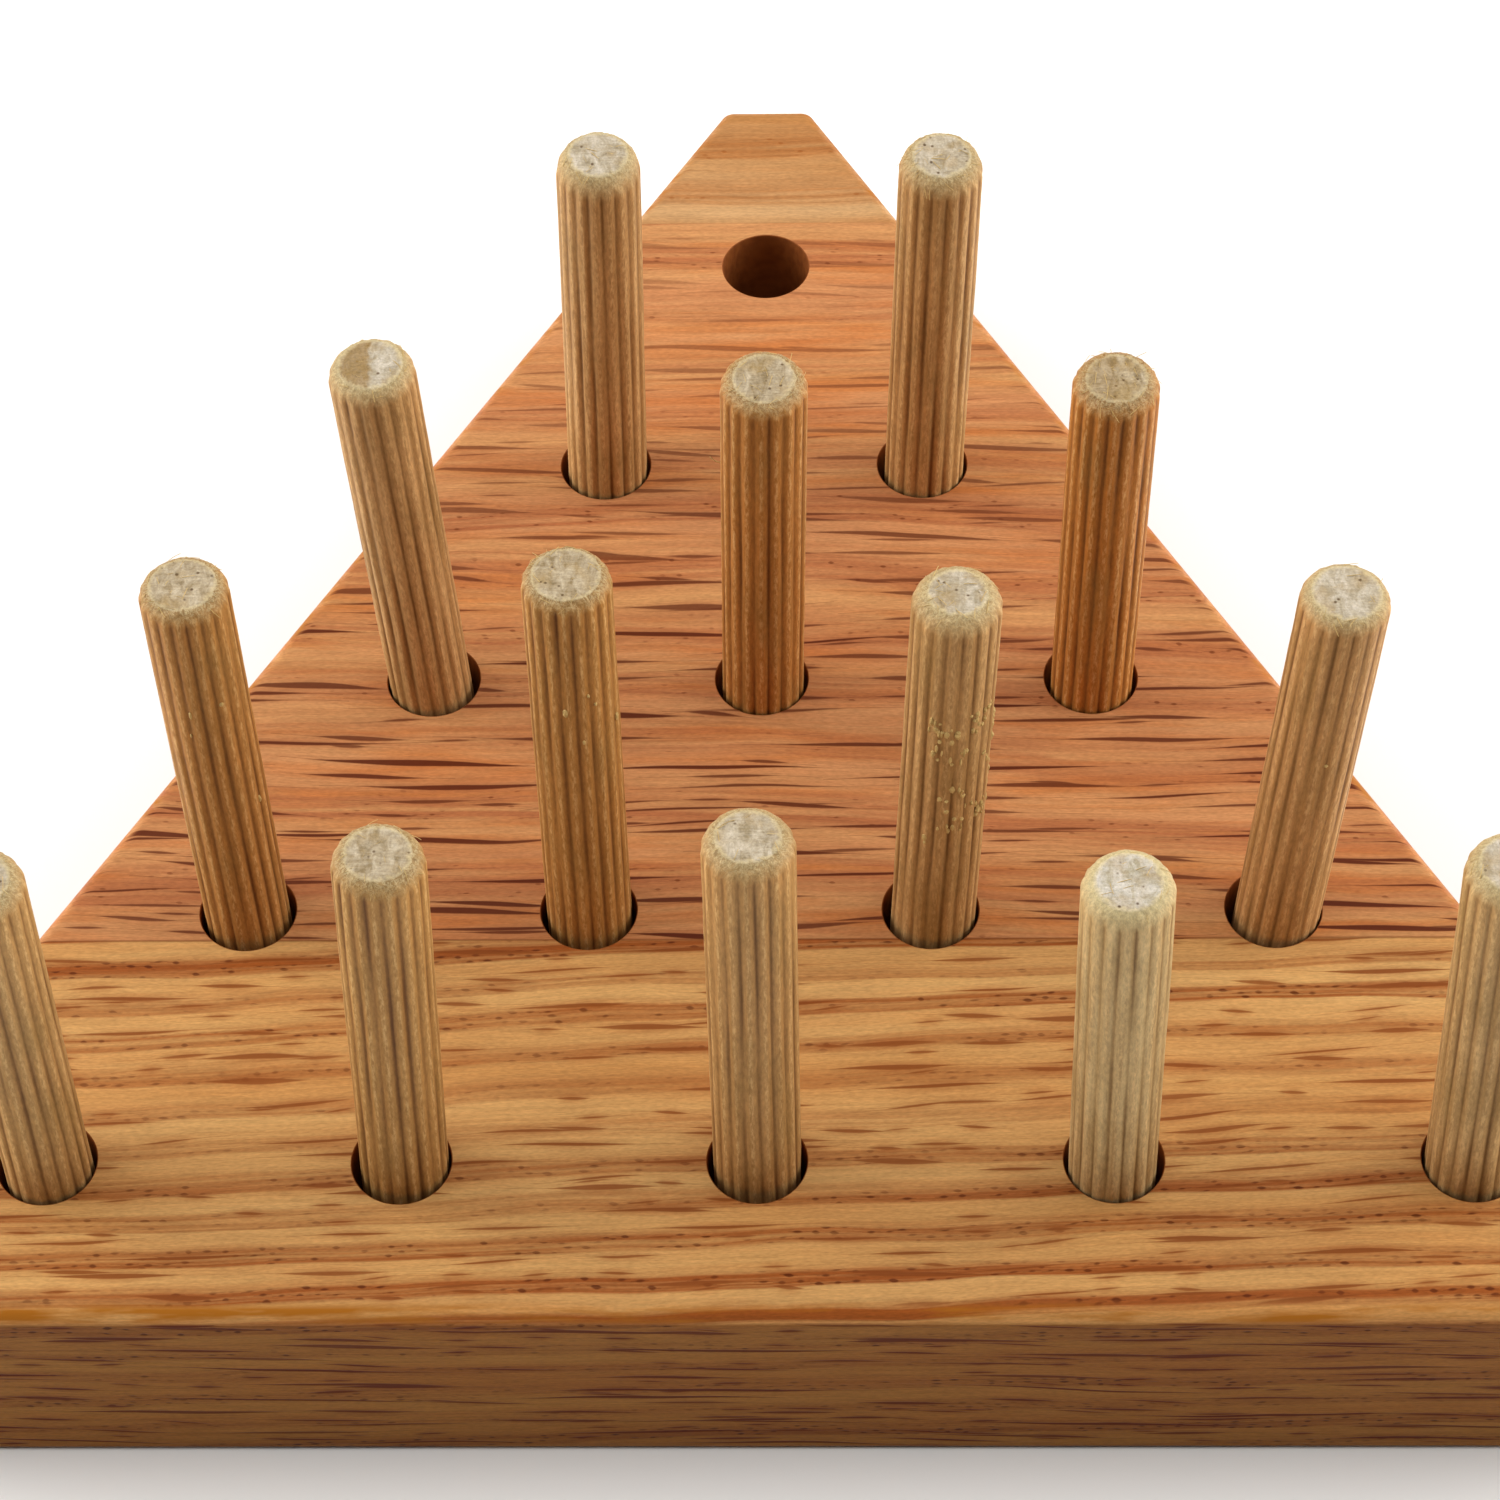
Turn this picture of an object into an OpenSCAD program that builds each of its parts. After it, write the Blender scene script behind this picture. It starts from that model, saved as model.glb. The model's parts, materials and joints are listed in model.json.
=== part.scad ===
// Triangle peg jump game: an edge-glued hardwood board with fifteen drilled holes and fourteen
// fluted dowel pegs. The hole at the point of the triangle is left empty, ready to play.
// Frame: +X to the right, +Y towards the point, +Z up. The origin is on the underside, at the
// middle of the board's length and depth.

/* [Peg grid] */
// Distance between neighbouring holes in a row
hole_pitch = 25.4; // [24:0.1:30]
// Diameter of the drilled holes
hole_d = 7.15; // [7.15:0.01:7.6]
// Depth of the drilled holes
hole_depth = 14.3; // [12:0.1:16]

/* [Board] */
// Thickness of the board
board_t = 19.05; // [18:0.05:25]
// Distance from the outer holes' centres to the long edges
edge_margin = 12.7; // [9:0.1:20]
// Length taken off each point of the triangle by its cut corner
corner_cut = 6.35; // [4:0.05:9]
// Radius of the sanded upper edge
edge_round = 1.6; // [0.8:0.1:3]
// Width of the broken lower edge
lower_break = 0.5; // [0.2:0.1:1]
// Width of the front stave
front_stave_w = 32; // [28:0.5:40]
// Width of the middle stave
middle_stave_w = 73.7; // [66:0.1:76]

/* [Pegs] */
// Diameter of a peg over its ridges
peg_d = 6.35; // [6:0.01:6.35]
// Length of a peg
peg_l = 50.8; // [40:0.1:60]
// Number of grooves round a peg
flutes = 18; // [12:1:24]
// Depth of a groove
flute_depth = 0.22; // [0.1:0.01:0.3]
// Length of the rounded end
peg_end_l = 1.4; // [0.8:0.1:2]
// Diameter of the flat end face
peg_flat_d = 4.6; // [3:0.1:5]

/* [Hidden] */
$fn = 64;
ROWS = 5;

// Each peg: its name, its row counted from the point, its place from the left, and how far it
// leans in its loose hole, in degrees to the right and to the rear. The lean stays under 3.1.
PEGS = [
    ["peg_row2_left", 2, 1, 1.4, -2.3],
    ["peg_row2_right", 2, 2, 1.3, -2.7],
    ["peg_row3_left", 3, 1, -2.4, -0.7],
    ["peg_row3_middle", 3, 2, 1.0, -2.8],
    ["peg_row3_right", 3, 3, 0.3, -3.0],
    ["peg_row4_left", 4, 1, -0.9, 1.6],
    ["peg_row4_mid_left", 4, 2, 0.1, 2.6],
    ["peg_row4_mid_right", 4, 3, 1.8, 0.3],
    ["peg_row4_right", 4, 4, 3.0, 0],
    ["peg_row5_left", 5, 1, 1.0, -2.1],
    ["peg_row5_mid_left", 5, 2, 1.8, 0.5],
    ["peg_row5_middle", 5, 3, 0, 2.2],
    ["peg_row5_mid_right", 5, 4, -1.1, -2.8],
    ["peg_row5_right", 5, 5, -1.8, -1.0]
];

// Distances from the triangle's centre to its long edges, its sharp points and its cut corners.
hole_side = (ROWS - 1) * hole_pitch;
edge_r = hole_side / (2 * sqrt(3)) + edge_margin;
point_r = 2 * edge_r;
corner_r = point_r - corner_cut;
// Half the width of the flat that a cut corner leaves.
corner_half_w = corner_cut * tan(30);
// The board runs from its front edge to the flat of its rear corner.
board_depth = edge_r + corner_r;
front_y = -board_depth / 2;
centre_y = front_y + edge_r;
row_gap = hole_pitch * sqrt(3) / 2;
floor_z = board_t - hole_depth;
// Slack under a peg's foot, so that it rests on the hole's floor without cutting into it.
foot_slack = 0.05;
// A peg leans about the point midway between the hole's mouth and the start of its rounded foot.
pivot_z = board_t - (hole_depth - peg_end_l) / 2;
// The sanded edge is three flats in place of a quarter circle, and meets both faces at an angle.
round_r = edge_round * 1.08;
round_facets = 12;
// Clearance for cutting tools that run past a face.
past = 1;

stave_wood = "peru";
heart_wood = "sandybrown";
peg_wood = "burlywood";

function hole_at(row, place) =
    [(place - (row + 1) / 2) * hole_pitch, front_y + edge_margin + (ROWS - row) * row_gap];

// The triangle with its three corners cut square to their bisectors.
module outline() {
    polygon([for (a = [90, 210, 330]) for (s = [-1, 1])
        [corner_r * cos(a) - s * corner_half_w * sin(a),
         corner_r * sin(a) + s * corner_half_w * cos(a) + centre_y]]);
}

// Takes the sanded round off one upper edge and the small break off the lower edge, for the side
// face that lies at distance r from the centre, in direction a.
module edge_tool(r, a, length) {
    translate([0, centre_y, 0])
        rotate([0, 0, a])
            translate([r, 0, 0])
                rotate([90, 0, 0])
                    linear_extrude(length, center = true) {
                        translate([-edge_round, board_t - edge_round])
                            difference() {
                                square(edge_round + past);
                                circle(round_r, $fn = round_facets);
                            }
                        polygon([[-lower_break - past, -past], [past, -past],
                                 [past, lower_break + past]]);
                    }
}

module edge_tools() {
    for (a = [30, 150, 270]) edge_tool(edge_r, a, 2 * point_r);
    for (a = [90, 210, 330]) edge_tool(corner_r, a, 6 * corner_half_w);
}

module hole(row, place) {
    at = hole_at(row, place);
    translate([at[0], at[1], floor_z]) cylinder(h = hole_depth + past, d = hole_d);
}

module holes() {
    for (row = [1 : ROWS]) for (place = [1 : row]) hole(row, place);
}

// The strip of the whole board between two distances from its front edge.
module stave(from, to) {
    difference() {
        intersection() {
            linear_extrude(board_t) outline();
            translate([-edge_r * 2, front_y + from, -past])
                cube([edge_r * 4, to - from, board_t + 2 * past]);
        }
        edge_tools();
        holes();
    }
}

module front_stave() {
    color(stave_wood) stave(-past, front_stave_w);
}

module middle_stave() {
    color(heart_wood) stave(front_stave_w, front_stave_w + middle_stave_w);
}

module rear_stave() {
    color(stave_wood) stave(front_stave_w + middle_stave_w, board_depth + past);
}

// Cross-section of the fluted stock.
module fluted() {
    groove_r = peg_d * sin(180 / flutes) * 0.42;
    difference() {
        circle(d = peg_d);
        for (i = [0 : flutes - 1])
            rotate(i * 360 / flutes)
                translate([peg_d / 2 - flute_depth + groove_r, 0]) circle(groove_r, $fn = 24);
    }
}

// A peg standing upright on its end face, at the origin. Both ends are rounded in two steps.
module peg_blank() {
    r = peg_d / 2;
    flat_r = peg_flat_d / 2;
    shoulder_r = flat_r + (r - flat_r) * 0.65;
    shoulder_h = peg_end_l * 0.35;
    // The second step carries on outwards past the ridges.
    over_r = r + past;
    over_h = peg_end_l + past * (peg_end_l - shoulder_h) / (r - shoulder_r);
    intersection() {
        linear_extrude(peg_l) fluted();
        rotate_extrude()
            polygon([
                [0, 0], [flat_r, 0], [shoulder_r, shoulder_h], [over_r, over_h],
                [over_r, peg_l - over_h], [shoulder_r, peg_l - shoulder_h],
                [flat_r, peg_l], [0, peg_l]
            ]);
    }
}

// A peg in its hole, leaning about its pivot, with its foot on the hole's floor.
module peg(row, place, right, rear) {
    at = hole_at(row, place);
    tilt = atan(norm([tan(right), tan(rear)]));
    heading = atan2(tan(rear), tan(right));
    drop = (pivot_z - floor_z - foot_slack - peg_flat_d / 2 * sin(tilt)) / cos(tilt);
    color(peg_wood)
        translate([at[0], at[1], pivot_z])
            rotate([0, tilt, heading])
                translate([0, 0, -drop])
                    peg_blank();
}

front_stave();
middle_stave();
rear_stave();
for (p = PEGS)
    peg(p[1], p[2], p[3], p[4]);
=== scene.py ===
"""Triangle peg jump game: an oak board glued up from three staves, with fourteen fluted birch pegs.

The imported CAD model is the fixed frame. Each stave and each peg here stands for its CAD node, at the
same place, and rides on the same body. Lengths in the settings are metres, as in the frame; patterns in
the materials are worked out in millimetres.
"""

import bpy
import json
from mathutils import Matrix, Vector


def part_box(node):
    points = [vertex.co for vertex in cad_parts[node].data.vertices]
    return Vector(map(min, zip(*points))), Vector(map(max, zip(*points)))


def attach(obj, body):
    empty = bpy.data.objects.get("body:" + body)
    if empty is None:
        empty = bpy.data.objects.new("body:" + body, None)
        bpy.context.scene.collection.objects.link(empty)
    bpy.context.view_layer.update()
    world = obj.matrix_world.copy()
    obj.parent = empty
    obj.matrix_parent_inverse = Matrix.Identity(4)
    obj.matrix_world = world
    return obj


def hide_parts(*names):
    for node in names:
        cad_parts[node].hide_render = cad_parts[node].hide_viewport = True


bl_info = {
    "name": "Triangle Peg Jump Game",
    "version": (1, 0, 0),
    "blender": (4, 5, 0),
    "location": "View3D > Sidebar > Peg Game",
    "description": "Builds the oak board, its fluted pegs and a plain studio round them",
    "category": "Object",
}

import json
import math

import bmesh
import bpy
import numpy as np
from mathutils import Matrix, Vector

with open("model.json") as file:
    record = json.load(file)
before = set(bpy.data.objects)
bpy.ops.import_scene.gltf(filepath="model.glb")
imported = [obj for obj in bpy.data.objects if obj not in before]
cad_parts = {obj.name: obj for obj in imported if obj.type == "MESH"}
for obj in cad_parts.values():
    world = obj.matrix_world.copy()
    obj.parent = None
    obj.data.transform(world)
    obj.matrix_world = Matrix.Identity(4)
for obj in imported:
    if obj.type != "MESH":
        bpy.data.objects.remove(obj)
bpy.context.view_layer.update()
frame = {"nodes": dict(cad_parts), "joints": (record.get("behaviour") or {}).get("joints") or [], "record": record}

MM = 0.001

# ---------------------------------------------------------------- places taken from the frame

APEX_HOLE = next(m for m in frame["record"]["mounts"] if m["name"] == "apex_hole")
HOLE_RADIUS = APEX_HOLE["dims"]["r_mm"] * MM
HOLE_DEPTH = APEX_HOLE["dims"]["length_mm"] * MM
HOLE_PITCH = 25.4 * MM
ROW_GAP = HOLE_PITCH * math.sqrt(3) / 2
ROWS = 5
FRONT_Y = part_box("front_stave")[0].y
REAR_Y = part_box("rear_stave")[1].y
BOARD_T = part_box("middle_stave")[1].z
GLUE_LINES = (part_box("front_stave")[1].y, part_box("middle_stave")[1].y)
EDGE_MARGIN = APEX_HOLE["pos_m"][1] - (ROWS - 1) * ROW_GAP - FRONT_Y
SIDE_FROM_CENTRE = (APEX_HOLE["pos_m"][1] - FRONT_Y) / 3 + EDGE_MARGIN * 2 / 3
CENTRE_Y = FRONT_Y + SIDE_FROM_CENTRE
CORNER_FROM_CENTRE = REAR_Y - CENTRE_Y

STAVES = {  # node: (from, to) across the board, with a little to spare past its outer edges
    "front_stave": (FRONT_Y - MM, GLUE_LINES[0]),
    "middle_stave": GLUE_LINES,
    "rear_stave": (GLUE_LINES[1], REAR_Y + MM),
}

# How each peg differs from the next. pale and warm tint it. groove is its flutes' depth against the
# usual, and rough is how torn its end is. fuzz is loose fibres per square millimetre of its upper
# shoulder, and crumbs is torn crumbs per square millimetre of a band on its front. stain is how much of
# its sawn face has gone brown, and splinters is their number. end is the length of its shoulder and
# flat the width of its sawn face, in millimetres at the usual settings.
USUAL_END_MM, USUAL_FLAT_MM = 1.4, 4.6
PEG_COLUMNS = (
    "pale", "warm", "groove", "rough", "fuzz", "crumbs", "stain", "splinters", "end", "flat", "seed")
PEG_LOOKS = {name: dict(zip(PEG_COLUMNS, row)) for name, *row in (
    ("peg_row2_left",      0.50, 0.55, 1.0, 0.8, 0.8,    0,    0, 0, 2.1, 4.5,  11),
    ("peg_row2_right",     0.42, 0.50, 1.0, 1.0, 1.2,    0,    0, 0, 2.0, 4.4,  23),
    ("peg_row3_left",      0.58, 0.60, 0.9, 1.1, 1.0,    0, 0.75, 0, 1.6, 4.8,  31),
    ("peg_row3_middle",    0.08, 0.80, 1.1, 1.2, 1.3,    0,    0, 1, 1.3, 4.6,  42),
    ("peg_row3_right",     0.05, 0.95, 1.0, 1.6, 2.0,    0, 0.35, 0, 1.5, 4.6,  57),
    ("peg_row4_left",      0.12, 0.60, 0.9, 1.0, 1.0, 0.02,    0, 0, 1.3, 4.8,  63),
    ("peg_row4_mid_left",  0.06, 0.50, 1.0, 1.2, 1.4, 0.02,    0, 0, 1.2, 5.0,  76),
    ("peg_row4_mid_right", 0.50, 0.50, 0.8, 1.1, 1.2,  0.5,    0, 0, 1.6, 4.2,  88),
    ("peg_row4_right",     0.55, 0.75, 0.5, 0.8, 0.8, 0.02,    0, 0, 1.3, 4.9,  94),
    ("peg_row5_left",      0.40, 0.35, 0.8, 0.9, 0.6,    0,    0, 0, 1.5, 4.5, 107),
    ("peg_row5_mid_left",  0.16, 0.35, 0.9, 0.9, 0.8,    0,    0, 0, 1.5, 4.6, 112),
    ("peg_row5_middle",    0.34, 0.50, 0.9, 0.9, 0.8,    0,    0, 0, 1.5, 4.5, 125),
    ("peg_row5_mid_right", 1.00, 0.20, 0.7, 0.8, 0.5,    0,    0, 0, 1.6, 4.6, 136),
    ("peg_row5_right",     0.62, 0.35, 0.8, 0.9, 0.6,    0,    0, 0, 1.5, 4.6, 149),
)}


# ---------------------------------------------------------------- small helpers

def add(tree, kind, inputs=(), **settings):
    """Adds a node with its settings, fills or links its inputs, and returns its first live output."""
    node = tree.nodes.new(kind)
    for key, value in settings.items():
        setattr(node, key, value)
    for key, value in dict(inputs).items():
        if isinstance(value, bpy.types.NodeSocket):
            tree.links.new(value, node.inputs[key])
        else:
            node.inputs[key].default_value = value
    return next((s for s in node.outputs if s.enabled), None)


def linear(hex_colour):
    """A #RRGGBB colour as the linear RGBA that a shader socket takes."""
    channels = [int(hex_colour[i:i + 2], 16) / 255 for i in (1, 3, 5)]
    return [c / 12.92 if c <= 0.04045 else ((c + 0.055) / 1.055) ** 2.4 for c in channels] + [1.0]


def blank_material(name):
    """A new material and its node tree, with nothing in it."""
    material = bpy.data.materials.new(name)
    material.use_nodes = True
    material.node_tree.nodes.clear()
    return material, material.node_tree


def new_object(name, mesh):
    obj = bpy.data.objects.new(name, mesh)
    bpy.context.scene.collection.objects.link(obj)
    return obj


def run_tree(obj, tree, values):
    """Runs a geometry tree on obj with the named values, and leaves the result as a plain mesh."""
    modifier = obj.modifiers.new(tree.name, "NODES")
    modifier.node_group = tree
    for item in tree.interface.items_tree:
        if item.item_type == "SOCKET" and item.in_out == "INPUT" and item.name in values:
            modifier[item.identifier] = values[item.name]
    bake(obj)


def bake(obj):
    """Turns obj and its modifiers into a plain mesh."""
    bpy.context.view_layer.update()
    mesh = bpy.data.meshes.new_from_object(obj.evaluated_get(bpy.context.evaluated_depsgraph_get()))
    obj.modifiers.clear()
    if not mesh.polygons:
        raise RuntimeError(f"{obj.name} came out with no faces")
    mesh.name = obj.name
    obj.data = mesh


def finish_piece(piece, body, node):
    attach(piece, body)
    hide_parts(node)


# ---------------------------------------------------------------- settings

class BoardSettings(bpy.types.PropertyGroup):
    edge_round: bpy.props.FloatProperty(
        name="Edge Round", description="Radius of the rounded top edge", default=1.6 * MM, min=0.2 * MM,
        max=4 * MM, unit="LENGTH", subtype="DISTANCE")
    lower_break: bpy.props.FloatProperty(
        name="Lower Break", description="Width of the small break along the lower edge", default=0.5 * MM,
        min=0.1 * MM, max=2 * MM, unit="LENGTH", subtype="DISTANCE")
    corner_round: bpy.props.FloatProperty(
        name="Corner Round", description="Radius that sanding leaves on the upright corners",
        default=0.9 * MM, min=0.1 * MM, max=3 * MM, unit="LENGTH", subtype="DISTANCE")
    mouth_ease: bpy.props.FloatProperty(
        name="Mouth Ease", description="Radius that sanding leaves on the mouth of each hole",
        default=0.09 * MM, min=0.05 * MM, max=0.6 * MM, unit="LENGTH", subtype="DISTANCE")
    front_colour: bpy.props.FloatVectorProperty(
        name="Front Colour", description="Lightest wood of the front stave", default=linear("#C4975C"),
        size=4, min=0, max=1, subtype="COLOR")
    middle_colour: bpy.props.FloatVectorProperty(
        name="Middle Colour", description="Lightest wood of the middle stave", default=linear("#B98552"),
        size=4, min=0, max=1, subtype="COLOR")
    rear_colour: bpy.props.FloatVectorProperty(
        name="Rear Colour", description="Lightest wood of the rear stave", default=linear("#BA9264"),
        size=4, min=0, max=1, subtype="COLOR")
    # Part of the bore colour's darkness is painted shade for the inside of the holes.
    bore_colour: bpy.props.FloatVectorProperty(
        name="Bore Colour", description="Wood inside the drilled holes", default=linear("#985828"),
        size=4, min=0, max=1, subtype="COLOR")


class PegSettings(bpy.types.PropertyGroup):
    diameter: bpy.props.FloatProperty(
        name="Diameter", description="Diameter over the ridges", default=6.35 * MM, min=3 * MM,
        max=7 * MM, unit="LENGTH", subtype="DISTANCE")
    length: bpy.props.FloatProperty(
        name="Length", description="Length over both ends", default=50.8 * MM, min=20 * MM,
        max=60 * MM, unit="LENGTH", subtype="DISTANCE")
    flutes: bpy.props.IntProperty(
        name="Flutes", description="Grooves pressed along the peg", default=18, min=6, max=30)
    groove_depth: bpy.props.FloatProperty(
        name="Groove Depth", description="Depth of a groove", default=0.2 * MM, min=0,
        max=0.5 * MM, unit="LENGTH", subtype="DISTANCE")
    end_length: bpy.props.FloatProperty(
        name="End Length", description="Length of the rounded shoulder at each end",
        default=USUAL_END_MM * MM, min=0.2 * MM, max=4 * MM, unit="LENGTH", subtype="DISTANCE")
    flat_diameter: bpy.props.FloatProperty(
        name="Flat Diameter", description="Diameter of the flat sawn face at each end",
        default=USUAL_FLAT_MM * MM, min=1 * MM, max=6 * MM, unit="LENGTH", subtype="DISTANCE")
    fresh_colour: bpy.props.FloatVectorProperty(
        name="Fresh Colour", description="Ridges of the palest pegs", default=linear("#EAD2A0"),
        size=4, min=0, max=1, subtype="COLOR")
    handled_colour: bpy.props.FloatVectorProperty(
        name="Handled Colour", description="Ridges of the darkest pegs", default=linear("#C08438"),
        size=4, min=0, max=1, subtype="COLOR")
    # The groove colour is painted shade along the bottoms of the flutes.
    groove_colour: bpy.props.FloatVectorProperty(
        name="Groove Colour", description="Bottoms of the flutes", default=linear("#5C3210"),
        size=4, min=0, max=1, subtype="COLOR")
    end_colour: bpy.props.FloatVectorProperty(
        name="End Colour", description="Sawn end faces at their whitest", default=linear("#CEC5B8"),
        size=4, min=0, max=1, subtype="COLOR")


class StageSettings(bpy.types.PropertyGroup):
    floor_colour: bpy.props.FloatVectorProperty(
        name="Floor Colour", description="Colour of the plain floor", default=linear("#F0EEEA"),
        size=4, min=0, max=1, subtype="COLOR")
    key_power: bpy.props.FloatProperty(
        name="Key Power", description="Power of the broad light above and behind", default=12.4, min=0,
        unit="POWER")
    side_power: bpy.props.FloatProperty(
        name="Side Power", description="Power of each of the two side lights", default=4.6, min=0,
        unit="POWER")


# ---------------------------------------------------------------- materials

def dash_group():
    """Lens-shaped dashes lying along X in staggered rows, as rays and pores show on sawn oak.

    The cells are a brick pattern, each with one dash of its own length, thickness, tilt and depth of
    colour, so that no dash is cut off by its neighbour. The Vector is in millimetres: X is along the
    grain, Y is through the growth rings and Z is along them.
    """
    tree = bpy.data.node_groups.new("Oak Dashes", "ShaderNodeTree")
    for name, kind in (("Vector", "NodeSocketVector"), ("Length Pitch", "NodeSocketFloat"),
                       ("Row Pitch", "NodeSocketFloat"), ("Reach", "NodeSocketFloat"),
                       ("Thickness", "NodeSocketFloat"), ("Softness", "NodeSocketFloat"),
                       ("Share", "NodeSocketFloat"), ("Seed", "NodeSocketFloat")):
        tree.interface.new_socket(name, in_out="INPUT", socket_type=kind)
    for name in ("Dash", "Halo"):
        tree.interface.new_socket(name, in_out="OUTPUT", socket_type="NodeSocketFloat")
    given = add(tree, "NodeGroupInput").node.outputs
    xyz = add(tree, "ShaderNodeSeparateXYZ", {0: given["Vector"]}).node.outputs
    rows = add(tree, "ShaderNodeMath", {0: xyz["Z"], 1: given["Row Pitch"]}, operation="DIVIDE")
    row = add(tree, "ShaderNodeMath", {0: rows}, operation="FLOOR")
    across = add(tree, "ShaderNodeMath", {0: rows}, operation="FRACT")
    layers = add(tree, "ShaderNodeMath", {0: xyz["Y"], 1: given["Reach"]}, operation="DIVIDE")
    layer = add(tree, "ShaderNodeMath", {0: layers}, operation="FLOOR")
    sheet = add(tree, "ShaderNodeMath", {0: layer, 1: 7.7, 2: given["Seed"]}, operation="MULTIPLY_ADD")
    row_key = add(tree, "ShaderNodeCombineXYZ", {0: row, 1: sheet})
    stagger = add(tree, "ShaderNodeTexWhiteNoise", {"Vector": row_key}, noise_dimensions="3D")
    bricks = add(tree, "ShaderNodeMath", {0: xyz["X"], 1: given["Length Pitch"]}, operation="DIVIDE")
    shifted = add(tree, "ShaderNodeMath", {0: stagger, 1: 13.0, 2: bricks}, operation="MULTIPLY_ADD")
    brick = add(tree, "ShaderNodeMath", {0: shifted}, operation="FLOOR")
    along = add(tree, "ShaderNodeMath", {0: shifted}, operation="FRACT")
    key = add(tree, "ShaderNodeCombineXYZ", {0: row, 1: brick, 2: sheet})
    chance = add(tree, "ShaderNodeTexWhiteNoise", {"Vector": key}, noise_dimensions="3D")
    own = add(tree, "ShaderNodeSeparateColor", {0: chance.node.outputs["Color"]}).node.outputs
    centred = add(tree, "ShaderNodeMath", {0: along, 1: 0.5}, operation="SUBTRACT")
    half = add(tree, "ShaderNodeMapRange", {"Value": own["Red"], "To Min": 0.22, "To Max": 0.49})
    share_along = add(tree, "ShaderNodeMath", {0: centred, 1: half}, operation="DIVIDE")
    squared = add(tree, "ShaderNodeMath", {0: share_along, 1: share_along}, operation="MULTIPLY")
    lens = add(tree, "ShaderNodeMath", {0: 1.0, 1: squared}, operation="SUBTRACT", use_clamp=True)
    taper = add(tree, "ShaderNodeMath", {0: lens, 1: 1.6}, operation="POWER")
    middle = add(tree, "ShaderNodeMapRange", {"Value": own["Green"], "To Min": 0.28, "To Max": 0.72})
    tilt = add(tree, "ShaderNodeMapRange", {"Value": own["Blue"], "To Min": -0.35, "To Max": 0.35})
    line = add(tree, "ShaderNodeMath", {0: centred, 1: tilt, 2: middle}, operation="MULTIPLY_ADD")
    off_line = add(tree, "ShaderNodeMath", {0: across, 1: line}, operation="SUBTRACT")
    gap = add(tree, "ShaderNodeMath", {0: off_line}, operation="ABSOLUTE")
    gap_mm = add(tree, "ShaderNodeMath", {0: gap, 1: given["Row Pitch"]}, operation="MULTIPLY")
    stout = add(tree, "ShaderNodeMapRange", {"Value": own["Blue"], "To Min": 0.28, "To Max": 0.7})
    fat = add(tree, "ShaderNodeMath", {0: stout, 1: given["Thickness"]}, operation="MULTIPLY")
    edge = add(tree, "ShaderNodeMath", {0: fat, 1: taper}, operation="MULTIPLY")
    inside = add(tree, "ShaderNodeMath", {0: edge, 1: gap_mm}, operation="SUBTRACT")
    soft = add(tree, "ShaderNodeMath", {0: inside, 1: given["Softness"]}, operation="DIVIDE")
    mask = add(tree, "ShaderNodeMath", {0: soft, 1: 0.5}, operation="ADD", use_clamp=True)
    shown = add(tree, "ShaderNodeMath", {0: chance, 1: given["Share"]}, operation="LESS_THAN")
    depth = add(tree, "ShaderNodeMapRange", {"Value": own["Red"], "To Min": 0.72, "To Max": 1.0})
    weight = add(tree, "ShaderNodeMath", {0: shown, 1: depth}, operation="MULTIPLY")
    dash = add(tree, "ShaderNodeMath", {0: mask, 1: weight}, operation="MULTIPLY")
    wide = add(tree, "ShaderNodeMath", {
        0: inside, 1: 2.4, 2: 0.8}, operation="MULTIPLY_ADD", use_clamp=True)
    tapered = add(tree, "ShaderNodeMath", {0: wide, 1: taper}, operation="MULTIPLY", use_clamp=True)
    halo = add(tree, "ShaderNodeMath", {0: tapered, 1: weight}, operation="MULTIPLY")
    add(tree, "NodeGroupOutput", {0: dash, 1: halo})
    return tree


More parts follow.
